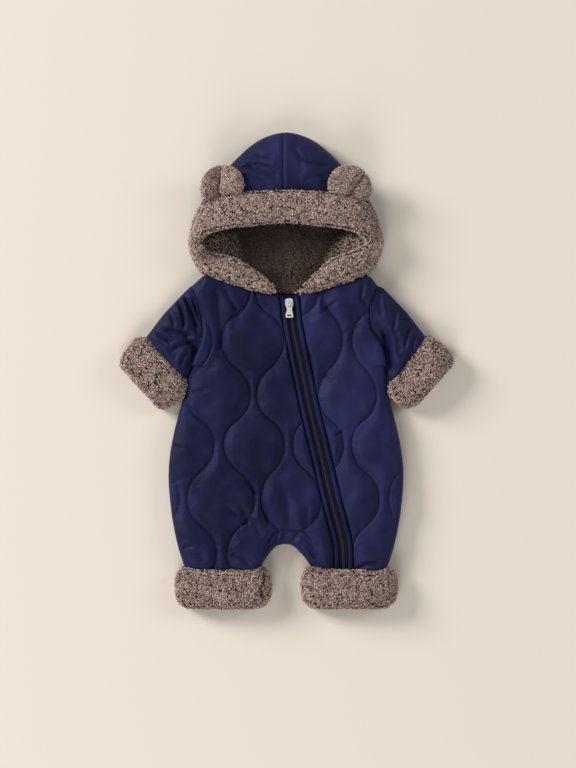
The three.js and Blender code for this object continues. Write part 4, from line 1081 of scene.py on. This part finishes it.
# %% Form of a cuff
def cuff_part(a, b, reach, tall, widths, skin, tilt=0.0):
    """Rings along the cuff: each is a rounded flat section between a low and a top height, whose half width towards
    either end of the seam comes from a table by distance from the seam. All are drawn in by skin so that pile fits
    outside. They run over the outside, round the rim and back along the slit."""
    a, b = np.array(a, float), np.array(b, float)
    wide = np.hypot(*(b - a))
    u = (b - a) / wide
    out = np.array([u[1], -u[0]])
    mid = (a + b) / 2
    t = 2 * np.pi * np.arange(72) / 72
    cs, sn = np.cos(t), np.sin(t)
    half_a, half_b = (table(w) for w in widths)

    def ring(v, in_by, top, low):
        """One section at distance v from the seam. A leg cuff's seam is level, and it follows its bowed hem."""
        half = np.where(cs < 0, half_a(v), half_b(v)) - in_by
        q = np.sign(cs) * np.abs(cs) ** 0.72 * half
        if u[1] == 0:
            v = v + hem_drop(mid[0] + q) * max(0, 1 - v / 14)
        z = np.where(sn >= 0, FRONT_UNDER + (top - FRONT_UNDER) * np.abs(sn) ** 0.8,
                     FRONT_UNDER - (FRONT_UNDER - low) * np.abs(sn) ** 0.34)
        away = v * (1 + tilt * q / 50)
        return np.column_stack([mid + u * q[:, None] + out * away[:, None], z])
    # distance from the seam, how far the sides are drawn in, height of the top and of the underside
    rows = np.array([(0.6, 6, 20, 5), (0.6, 1, 24, 1.5), (3, 0, tall - 5, 0), (9, 0, tall - 1, 0),
                     (reach * 0.4, 0, tall, 0), (reach * 0.68, 0, tall, 0), (reach * 0.87, 0, tall - 2.5, 0),
                     (reach * 0.965, 0, tall - 8, 3), (reach, 0, tall - 14, 7)])
    k = np.linspace(0, len(rows) - 1, 44)
    dense = np.column_stack([np.interp(k, np.arange(len(rows)), rows[:, j]) for j in range(4)])
    dense[:, 0] = np.clip(dense[:, 0], 0.6, reach - skin * 0.8)
    dense[:, 1] += skin
    dense[:, 2] = np.maximum(dense[:, 2] - skin, 15)
    dense[:, 3] = np.minimum(dense[:, 3] + skin * 0.35, 11.5)
    inner = [(reach * 0.95, 17, 15.5, 10.5), (reach * 0.8, 22, 14, 12), (reach * 0.3, 26, 14, 12), (3.5, 22, 14, 12)]
    return tube(np.array([ring(*r) for r in dense] + [ring(*r) for r in inner]))


# %% Cuffs and their pile
LEG_WIDTHS = [(0, 55), (3, 59), (6, 62), (11, 66), (20, 67.5), (36, 67), (45, 64.5), (52, 57), (56, 47)]
CUFFS = {
    # ends of the seam, reach, height, half widths by distance from the seam towards each end, tilt, tufts
    "cuff_sleeve_right": ((-196.3, 43.9), (-141.6, -15.9), 52.5, 34, (
        [(0, 42), (3, 45.5), (10, 50), (23, 49), (45, 43), (52, 35)],
        [(0, 46), (6, 50.5), (18, 56.5), (27, 55.5), (45, 50), (51, 43)]), 0.0, 10500),
    "cuff_sleeve_left": ((146.9, -20.1), (196.4, 43.9), 49, 34, (
        [(0, 47), (3, 50), (9, 55.5), (17, 55.5), (31, 55.5), (41, 51), (48, 40)],
        [(0, 44), (3, 47), (20, 48), (35, 45.5), (44, 41), (49, 34)]), 0.07, 10500),
    "cuff_leg_right": ((-148, -276.75), (-28, -276.75), 56.25, 36, (LEG_WIDTHS, LEG_WIDTHS), 0.0, 14500),
    "cuff_leg_left": ((29, -276.75), (148, -276.75), 56.25, 36, (LEG_WIDTHS, LEG_WIDTHS), 0.0, 14500),
}


def leg_seam_and_shade(x, y):
    """The seam of the wearer's right leg cuff: the pile parts along a line 54 mm from the cuff's middle and is
    painted darker there as shade.
    """
    return np.exp(-(((x + 34.4 + 1.2 * np.sin(y / 5)) / 1.9) ** 2)) * step(-322, -312, y) * step(-282, -288, y)


def cuff_cover(c, n):
    """A quarter of the pile near the slit, a fifth on the underside, all of it elsewhere."""
    return np.where(np.abs(c[:, 2] - FRONT_UNDER) < 2.6, 0.25, np.where(n[:, 2] < -0.6, 0.2, 1.0))


for k, (node, (a, b, reach, tall, widths, tilt, tufts)) in enumerate(CUFFS.items()):
    part = cuff_part(a, b, reach, tall, widths, CUFF_SKIN, tilt)
    build("base_" + node, [part], fleece_base, node)
    pile(node, part, few(tufts), fleece_look, 40 + 10 * k, cuff_cover,
         parting_and_shade=leg_seam_and_shade if node == "cuff_leg_right" else None)

# %% [markdown]
# ## Hood
# The hood is worked out in flat sections at each angle round a point on its centre seam: r outwards, z up. One
# section has the fleece band round the face, the shell from the band over the outline and under to the middle, and
# the lining inside it. A grid over the layout, as for the front, can't turn under itself as a hood does.

# %% Outlines of the hood
POLE = np.array([-3.5, 165.0])
TRIM_HALF, SHELL_THICK, LINING_THICK = 5.5, 2.5, 3.0


def wrapped(angle):
    """The same angle between -180 and 180 degrees."""
    return np.arctan2(np.sin(angle), np.cos(angle))


def both(rows):
    """The rows of one side and their mirror images, as one closed round."""
    return rows + [(-x, y, z) for x, y, z in reversed([r for r in rows if abs(r[0]) > 0.5])]


def polar(points):
    """A closed smooth curve through (x, y, z) points, as r and z by angle about the pole."""
    q = smooth_chain(points, 24, closed=True)
    angle = np.arctan2(q[:, 1] - POLE[1], q[:, 0] - POLE[0])
    order = np.argsort(angle)
    angle, r, z = angle[order], np.hypot(*(q[:, :2] - POLE).T)[order], q[order, 2]

    def f(w):
        return (np.interp(wrapped(w), angle, r, period=2 * np.pi), np.interp(wrapped(w), angle, z, period=2 * np.pi))
    return f


trim_outer = polar(both([(0, 249.6, 45), (-40, 248, 45), (-70, 245.5, 43), (-98, 241, 38), (-116, 233, 29),
                         (-129, 212, 19), (-135, 185, 14), (-134.5, 165, 13), (-125, 145, 17), (-113.5, 133.5, 23),
                         (-91, 126, 26), (-61, 116.5, 27), (-42, 110.5, 27), (-17, 106.3, 25)]))
trim_inner = polar([(0, 204.3, 44), (-45, 202, 44), (-80, 199, 43), (-105, 192, 41), (-117, 180, 38),
                    (-108, 165, 35), (-88, 157, 34), (-66, 152, 34), (-42, 138, 32), (-25, 125, 29), (-11, 113, 26),
                    (4, 108, 25), (19, 113, 26), (30, 124, 29), (44, 138, 32), (62, 152, 34), (82, 160, 34),
                    (102, 168, 35), (112, 179, 38), (102, 190, 41), (80, 198, 43), (45, 202, 44)])
hood_outer = polar(both([(0, 333, 14), (-27, 327, 14), (-48, 315, 14), (-65, 300, 14), (-77, 288, 14),
                         (-95, 268, 14), (-108, 250, 13), (-117, 233, 11), (-123, 212, 9), (-127, 185, 7),
                         (-126, 165, 7), (-119, 146, 6), (-113, 134, 3), (-80, 130.4, 2), (-40, 127.9, 2),
                         (0, 127, 2)]))
print("hood, mm to each side of its pole:", [round(float(hood_outer(w)[0])) for w in (0, np.pi / 2, np.pi)])


# %% The middle line of the face band
def is_neck(angle, a, b):
    """1 where the section meets the neck seam, 0 where it meets the face band: it falls from a to b radians away from
    straight down."""
    return 1 - step(a, b, np.abs(wrapped(angle + np.pi / 2)))


def band(angle):
    """The face band's middle line at each angle: its ends, direction, normal and half thickness."""
    (ro, zo), (ri, zi) = trim_outer(angle), trim_inner(angle)
    half = np.minimum(TRIM_HALF, (ro - ri) * 0.3 + np.abs(zo - zi) * 0.2)
    start, end = np.stack([ro - half, zo], -1), np.stack([ri + half, zi], -1)
    length = np.linalg.norm(end - start, axis=-1)
    t = (end - start) / length[..., None]
    n = np.stack([t[..., 1], -t[..., 0]], -1)
    n = np.where((n[..., 1] < 0)[..., None], -n, n)
    return dict(start=start, end=end, t=t, n=n, half=half, length=length)


def band_at(b, f):
    """A point of the middle line at share f from the outer end; it rises to 0.12 of its length in the middle."""
    f = np.asarray(f)[..., None]
    return lerp(b["start"], b["end"], f) + b["n"] * (0.12 * b["length"])[..., None] * 4 * f * (1 - f)


def bezier(a, b, c, d, t):
    """Rows of points on the cubic curves from a to d, which leave a towards b and reach d from c."""
    a, b, c, d = (v[:, None, :] for v in (a, b, c, d))
    t = t[None, :, None]
    return (1 - t) ** 3 * a + 3 * (1 - t) ** 2 * t * b + 3 * (1 - t) * t * t * c + t**3 * d


def place(angle, rz):
    """Section points (r, z) at an angle, as x, y, z."""
    return np.stack([POLE[0] + rz[..., 0] * np.cos(angle), POLE[1] + rz[..., 0] * np.sin(angle), rz[..., 1]], -1)


def offset(line, d):
    """Each point of the section moved by d to the left of its way along the line."""
    way = np.gradient(line, axis=1)
    way /= np.maximum(1e-9, np.linalg.norm(way, axis=-1))[..., None]
    return line + np.stack([-way[..., 1], way[..., 0]], -1) * d


def pair(a, b):
    """Section points from their r and z, each an array or one number for all."""
    return np.stack(np.broadcast_arrays(a, b), -1)


def to_pole(foot, z, n):
    """The last n points of a section, straight in from its foot to the pole at the height z."""
    f = np.linspace(1, 0, n + 1)[1:]
    return pair(foot[:, :1] * f, z)


# %% The shell's section
CROWN_POINTS = 40  # points of a section that lie on the upper side


def shell_line(angle):
    """The shell's middle line at each angle: band edge, outline, then under to the pole."""
    b, neck, (ro, zo) = band(angle), is_neck(angle, 1.24, 1.40), hood_outer(angle)
    half = SHELL_THICK / 2
    edge = b["start"] - b["t"] * (b["half"] + 1.0)[..., None]
    beside = step(np.radians(38), np.radians(60), np.abs(wrapped(angle - np.pi / 2)))
    edge = edge - pair(3.4, 1.2 + 0.4 * beside)
    m = pair(lerp(edge[:, 0], ro - 0.2, neck), lerp(np.maximum(edge[:, 1], 7), half, neck))
    far = lerp(np.maximum(ro - half, m[:, 0] + 0.6), ro - 10, neck)
    high = np.minimum(lerp(np.minimum(zo, m[:, 1] - 0.6), half, neck), m[:, 1])
    q = pair(far, np.maximum(high, half))
    length = np.linalg.norm(q - m, axis=-1)
    lead = pair(m[:, 0] - b["t"][:, 0] * length * 0.5 * (1 - neck) - length * 0.33 * neck,
                m[:, 1] - b["t"][:, 1] * length * 0.5 * (1 - neck))
    reach = pair(q[:, 0] + length * 0.33 * neck, q[:, 1] + np.minimum(length * 0.4, 16) * (1 - neck))
    first = bezier(m, lead, reach, q, np.linspace(0, 1, CROWN_POINTS))
    roll = lerp(np.minimum(13, q[:, 1] * 1.3), 8, neck)
    foot = pair(q[:, 0] - roll, half)
    second = bezier(q, pair(q[:, 0], lerp(q[:, 1], half, 0.6)), pair(q[:, 0] - roll * 0.4, half), foot,
                    np.linspace(0, 1, 11)[1:])
    return np.concatenate([first, second, to_pole(foot, half, 8)], 1)


# %% The lining's section
SIDE_POINTS, NECK_Z = 26, 15.0  # points of a section on the lining's sides; height at which it passes over the back


def lining_line(angle):
    """The lining's middle line at each angle: rim under the band, side, floor, and over the back at the neck."""
    b, neck, (ro, zo) = band(angle), is_neck(angle, 1.17, 1.31), hood_outer(angle)
    d = b["half"] + 1.3 + LINING_THICK / 2 + 8 * neck * (1 - neck)
    opened = step(4, 40, ro - b["start"][:, 0] - b["half"])
    rim = band_at(b, np.full(len(angle), 0.45)) - b["n"] * d[:, None]
    rim[:, 1] = lerp(rim[:, 1], b["start"][:, 1] - d - 0.8, opened)
    neck_r = trim_outer(angle)[0] - 2.2
    rim = lerp(rim, pair(neck_r, NECK_Z), neck[:, None])
    under = LINING_THICK / 2 + SHELL_THICK + 0.5
    low, wide = pair(b["start"][:, 0] - 9, 9.5), pair(ro - 5.2, NECK_Z)
    turn = lerp(lerp(low, wide, opened[:, None]), pair(neck_r - 4, NECK_Z), neck[:, None])
    roof = pair(b["start"][:, 0] + b["half"] + 2, b["start"][:, 1] - d - 0.2)
    lead = lerp(lerp(rim, turn, 0.4), roof + pair((turn[:, 0] - roof[:, 0]) * 0.35, 0), opened[:, None])
    reach = turn + pair(0, 13 * opened)
    first = bezier(rim, lead, reach, turn, np.linspace(0, 1, SIDE_POINTS))
    foot = pair(turn[:, 0] - lerp(9, 2, neck), lerp(under, NECK_Z, neck))
    second = bezier(turn, pair(turn[:, 0], lerp(turn[:, 1], foot[:, 1], 0.7)),
                    pair(lerp(turn[:, 0], foot[:, 0], 0.5), foot[:, 1]), foot, np.linspace(0, 1, 9)[1:])
    line = np.concatenate([first, second, to_pole(foot, under, 16)], 1)
    xyz = place(angle[:, None], line)
    floor_z = under + (NECK_Z - under) * step(0, 14, neck_back(xyz[..., 0]) + 4 - xyz[..., 1])
    late = np.arange(line.shape[1])[None, :] >= SIDE_POINTS
    raised = np.where(np.abs(xyz[..., 0]) < 112, np.maximum(line[..., 1], floor_z), line[..., 1])
    line[..., 1] = np.where(late, raised, line[..., 1])
    return line


# %% [markdown]
# ### The hood's shell
# Two halves with a seam between them. The crown's creases lie where its cloth is gathered round the head. The shell
# is a sheet of padded nylon.

# %% Shell of the hood
CROWN_CREASES = [
    # half width, depth, points from one end to the other
    (2.2, 2.0, [(-70, 282), (-50, 283), (-30, 275), (-8, 272)]),
    (1.8, 1.6, [(-58, 291), (-42, 287), (-24, 284), (-7, 277)]),
    (2.0, 1.4, [(-56, 272), (-40, 268), (-24, 262)]),
    (1.8, 1.2, [(-44, 304), (-30, 298), (-16, 297)]),
    (2.4, 1.5, [(64, 286), (46, 284), (30, 290), (14, 300)]),
    (2.2, 1.3, [(58, 268), (42, 270), (26, 266)]),
    (2.2, 1.2, [(10, 312), (20, 296), (22, 280)]),
]


def hood_half(node, right):
    """Half of the shell: outer and inner points at 1.25 mm each side of the middle line, with the crown's creases
    and a valley beside the centre seam."""
    hand = -1 if right else 1
    start = 90 if right else -90
    angle = np.radians(np.linspace(start, start + 180, 114))
    line = shell_line(angle)
    outer, inner = offset(line, SHELL_THICK / 2), offset(line, -SHELL_THICK / 2)
    xyz, xyz_in = place(angle[:, None], outer), place(angle[:, None], inner)
    x, y = xyz[..., 0], xyz[..., 1]
    upper = (np.arange(line.shape[1])[None, :] < CROWN_POINTS) & (xyz[..., 2] > 5)
    fade = step(0, 14, xyz[..., 2] - 12)
    seam = np.abs(x - POLE[0])
    rise = 2.3 * creases(x, y, CROWN_CREASES) + 0.8 * waves(x, y, 36, 31) + 0.22 * waves(x, y, 12, 32)
    rise += -1.2 * np.exp(-((seam / 1.1) ** 2)) + 0.5 * np.exp(-(((seam - 4.5) / 2.5) ** 2)) * (1 if right else 0.4)
    rise += 0.3 * np.sin(y / 1.6) * np.exp(-((seam - 4) / 3) ** 2)
    xyz[..., 2] = np.where(upper, xyz[..., 2] + rise * fade, np.maximum(xyz[..., 2], 0))
    for q in (xyz, xyz_in):
        q[..., 0] += hand * 0.03  # keeps the two halves apart in the seam
    return build("shell_" + node, [wall(xyz, xyz_in)], shell_looks[node], node)


for node, right in (("hood_right", True), ("hood_left", False)):
    ob = hood_half(node, right)
    print("points of", node + ":", len(ob.data.vertices))

# %% [markdown]
# ### The hood's lining
# A bowl of brown fleece. Its pile is long only where it shows in the mouth of the hood, and it is pressed flat
# at the bottom of the bowl, where the head would lie, and painted dark there as shade, with less in the cheeks.

# %% Form of the lining
def lining_part():
    """The lining as a closed bowl: outer and inner skins joined at the rim. Soft folds run down its sides."""
    angle = np.radians(np.arange(0, 360, 3.0))
    line = lining_line(angle)
    outer, inner = offset(line, LINING_THICK / 2), offset(line, -LINING_THICK / 2 + 1.2)
    a, b = place(angle[:, None], outer), place(angle[:, None], inner)
    x, y = b[..., 0], b[..., 1]
    fold = 2.2 * np.exp(-(((x + 64) / 4) ** 2)) * step(150, 168, y)
    fold += 1.4 * np.exp(-(((x - 40 - 0.5 * (y - 160)) / 6) ** 2))
    cheek = 25 * step(46, 92, x - 0.5 * (y - 153)) * step(202, 186, y) + 17 * step(58, 100, -x) * step(205, 185, y)
    b[..., 2] += step(16, 8, b[..., 2]) * (fold + cheek + 0.8 * waves(x, y, 30, 61))
    r, c = a.shape[:2]
    verts = np.concatenate([a.reshape(-1, 3), b.reshape(-1, 3)])
    faces = grid_faces(r, c, wrap_rows=True).tolist() + grid_faces(r, c, r * c, wrap_rows=True)[:, ::-1].tolist()
    for i in range(r):
        j = (i + 1) % r
        faces.append([r * c + i * c, r * c + j * c, j * c, i * c])
    return verts, faces


part = lining_part()
ob = build("base_hood_lining", [part], lining_base, "hood_lining")
print("points of the lining:", len(ob.data.vertices))


# %% Pile of the lining
def seen_inside(c, n):
    """Pile where the lining shows in the mouth, and a little on its inner side nearby."""
    inner = (n[:, 2] > 0.2) & (c[:, 2] < 34)
    shown = (np.abs(c[:, 0]) < 118) & (c[:, 1] < 218)
    return np.where(inner & shown, 1.0, np.where(inner & (c[:, 1] < 245) & (np.abs(c[:, 0]) < 100), 0.15, 0.0))


def inside_press_and_shade(x, y):
    """How much the lining's pile is pressed flat and painted dark as shade: most in the middle, less in the cheeks,
    with lighter ridges.
    """
    right = step(-8, 16, x - 56 - 0.5 * (y - 153)) * step(200, 184, y)
    left = 0.5 * step(-62, -70, x + 0.25 * (y - 175)) * step(205, 180, y)
    ridge = 0.5 * np.exp(-(((x + 64 + 0.28 * (y - 175)) / 2.2) ** 2)) * step(150, 160, y)
    middle = 0.32 * np.exp(-(((x - 8) / 9) ** 2)) * step(200, 170, y) + 0.22 * np.exp(-(((x - 40) / 5) ** 2))
    return 0.66 * (1 - np.minimum(1.9, 1.8 * right + 2.2 * left + ridge + middle))


pile("hood_lining", part, few(14000), lining_look, 90, seen_inside, length=5.4, flow=40, parting_and_shade=inside_press_and_shade)

# %% [markdown]
# ### The face band
# A thick fleece strip round the face, open at the throat. It is a rod with a flat section, thinner towards both ends.

# %% Face band and its pile
def trim_part(skin):
    """The band round the face as a rod: at each angle a rounded strip about its middle line."""
    angle = np.radians(np.linspace(-70.5, 260.5, 220))
    b = band(angle)
    count = len(angle)
    i = np.arange(count)
    h = (b["half"] - skin) * (0.45 + 0.55 * dome(np.minimum(i, count - 1 - i) / 12))
    up, out = b["n"] * h[:, None], b["t"] * (b["half"] - skin)[:, None]
    f = np.linspace(0, 1, 12)
    top = [band_at(b, np.full(count, v)) + up for v in f]
    low = [band_at(b, np.full(count, v)) - up for v in f[::-1]]

    def cap(p, way, side):
        """Three points round an end of the section."""
        return [p + way * 0.72 + side * 0.7, p + way, p + way * 0.72 - side * 0.7]
    rings = np.stack(top + cap(b["end"], out, up) + low + cap(b["start"], -out, -up), 1)
    return rod(place(angle[:, None], rings))


def cheek_fold_and_shade(x, y):
    """A shallow dent in the band beside the wearer's right cheek, where its pile is also painted darker as shade."""
    return 0.5 * np.exp(-(((x + 108) / 12) ** 2) - (((y - 165) / 14) ** 2))


def few_below(share):
    """A cover with only this share of the pile on faces that look down."""
    return lambda c, n: np.where(n[:, 2] < -0.3, share, 1.0)


part = trim_part(TRIM_SKIN)
build("base_hood_trim", [part], fleece_base, "hood_trim")
pile("hood_trim", part, few(26000), fleece_look, 110, few_below(0.12), wide=0.66, parting_and_shade=cheek_fold_and_shade)

# %% [markdown]
# ## Ears
# Padded half rounds with one pinched fold. They stand in the seam between the hood and its band. Both have the same
# outline, but their folds differ, as hand-sewn ones do.

# %% Form of an ear
def ear_fold(x, y):
    """Distance from the line of an ear's fold: upright in the right ear, slanting in the left."""
    return np.where(x < 0, -x - 92 + 0.1 * (y - 256), (x - 97) * 0.8 - (y - 257) * 0.6)


def ear_part(hand, skin):
    """Rings from the middle to the outline: the top is a dome with a valley, the underside is nearly flat."""
    outline = [(61, 249.5), (60, 263.5), (67, 276.5), (82, 283.5), (98, 282.5), (111, 273.5), (118, 258.5),
               (117.5, 243), (110, 238), (95, 242), (78, 245)]
    mid = np.array([89.0, 261.5])
    rim = smooth_chain(outline, 6, closed=True)
    rim = mid + (rim - mid) * (1 - skin / np.linalg.norm(rim - mid, axis=1))[:, None]
    f = np.sin(np.linspace(0, np.pi / 2, 16))[1:, None]
    x, y = (lerp(mid[k], rim[None, :, k], f) for k in (0, 1))
    under = 45.8 - 0.2 * (x - 62)
    pinch = 6.5 * np.exp(-((ear_fold(hand * x, y) / 4.0) ** 2)) * (1 - step(270, 281, y))
    bulge = np.sqrt(np.maximum(0, 1 - f**2.4))
    top = under + 3 + (9.5 - skin * 0.6 - pinch) * bulge
    low = under + 3 - (3 - skin * 0.4) * bulge
    over, below = np.stack([hand * x, y, top], -1), np.stack([hand * x, y, low], -1)
    return rod(np.concatenate([over, below[::-1][1:]]))


# %% Ears and their pile
def ear_parting_and_shade(x, y):
    """The pile is pressed down and painted darker as shade in the fold, and in the right ear also a little on one
    side of it.
    """
    d = ear_fold(x, y)
    return np.maximum(np.exp(-((d / 2.2) ** 2)) * (1 - step(268, 281, y)),
                      0.34 * (x < 0) * step(0, 3, d) * step(20, 14, d))


for k, (node, hand) in enumerate((("ear_right", -1), ("ear_left", 1))):
    part = ear_part(hand, EAR_SKIN)
    build("base_" + node, [part], fleece_base, node)
    pile(node, part, few(5500), fleece_look, 150 + 10 * k, few_below(0.3), length=4.4, parting_and_shade=ear_parting_and_shade)

# %% [markdown]
# ## Zip
# Tape, two coils of small loops, and a cord on each side with two rows of stitches. All of them are sections that are
# carried along one slanting line.

# %% Tape and cords
CORD_FROM_MIDDLE, CORD_HALF, CORD_RISE, CORD_Z = 9.65, 3.3, 3.1, 21.6
ZIP_TOP, ZIP_END = 104.2, -281.6


def strip_points(d, y0):
    """Points at signed distance d from the zip's middle line, for stations y0 down the line."""
    slope = (zip_x(y0 + 2) - zip_x(y0 - 2)) / 4
    n = np.hypot(1, slope)
    return np.stack([zip_x(y0) + d / n, np.clip(y0 - d * slope / n, ZIP_END - 0.2, ZIP_TOP + 0.1)], -1)


def strip(name, section, material, node, wobble=0.0):
    """A section of (distance, height) points carried down the zip. A wobble makes its upper side a little uneven."""
    y0 = np.linspace(ZIP_TOP, ZIP_END, 260)
    rings = [np.column_stack([strip_points(np.full(len(y0), float(d)), y0),
                              z + wobble * np.sin(y0 / 1.1 + d) * (z > 22)]) for d, z in section]
    return build(name, [rod(np.stack(rings, 1))], material, node)


half_round = [(CORD_HALF * np.cos(t), CORD_Z + CORD_RISE * np.sin(t)) for t in np.linspace(np.pi, 0, 11)]
cord_section = half_round + [(2.9, 20.4), (-2.9, 20.4)]
for node, sign in (("placket_right", -1), ("placket_left", 1)):
    section = [(sign * CORD_FROM_MIDDLE + d, z) for d, z in cord_section]
    ob = strip("cord_" + node, section, cord_look, node, wobble=0.10)
tape_section = [(-6, 20.3), (6, 20.3), (6, 21.3), (4, 21.5), (0.4, 21.6), (-0.4, 21.6), (-4, 21.5), (-6, 21.3)]
ob = strip("woven_zip_tape", tape_section, tape.mat, "zip_tape")

# %% [markdown]
# ### Coils and their stitches
# The coil is a wire wound into flat turns, one every 1.7 mm. Seven points to a turn and four round the wire are
# enough at this size.

# %% Coils
COIL_PITCH, COIL_POINTS = 1.7, 7


def coil_part(side):
    """A flattened spring of round wire along the zip, 1.24 mm wide and 1.0 mm high to the wire's middle, the wire
    0.6 mm thick."""
    s = np.arange(int(384 / COIL_PITCH) * COIL_POINTS) / COIL_POINTS
    w = 2 * np.pi * s
    xy = strip_points(side * (0.8 + 0.62 * np.cos(w)), 103.6 - s * COIL_PITCH)
    centre = np.column_stack([xy, 22.2 + 0.5 * np.sin(w)])
    way = np.gradient(centre, axis=0)
    way /= np.linalg.norm(way, axis=1)[:, None]
    up = np.cross(way, [0, 1, 0])
    up /= np.linalg.norm(up, axis=1)[:, None]
    across = np.cross(way, up)
    rings = [centre + 0.3 * (np.cos(t) * up + np.sin(t) * across) for t in np.arange(4) * np.pi / 2]
    return rod(np.stack(rings, 1))


ob = build("coils_zip", [coil_part(-1), coil_part(1)], coil.mat)
print("points of the coils:", len(ob.data.vertices))

# %% Rows of stitches on the tape and beside the cords
y0 = np.arange(103, -276, -1.0)
chains = [strip_points(np.full(len(y0), d), y0) for d in (-13.0, -5.2, 5.2, 13.0)]
stitches("stitches_zip", chains, lambda x, y: np.where(np.abs(x - zip_x(y)) / zip_slant(y) < 6, 21.5, 20.2),
         pitch=2.9, length=2.0, wide=0.3, tall=0.22, lift=0.1)

# %% [markdown]
# ## Metal slider and pull tab
# Their solids have the right shape, so they stay and get polished metal. The tab turns on the slider, so it is the
# only piece that rides on a body of its own.

# %% Metal
for node in ("zip_slider", "zip_pull"):
    ob = bpy.data.objects[node]
    ob.data.materials.clear()
    ob.data.materials.append(metal.mat)
print("metal on the slider and the tab")

# %% [markdown]
# ## Triangles
# The triangles of every shown mesh but the floor are counted, and meshes of more than 20000 are named. Pile may
# stand out only a few millimetres.

# %% Count of triangles
total = 0
for ob in scene.objects:
    if ob.type == "MESH" and not ob.hide_render and ob is not floor:
        n = sum(len(p.vertices) - 2 for p in ob.data.polygons)
        total += n
        if n > 20000:
            print(f"{ob.name}: {n} triangles")
print("triangles in all:", total)
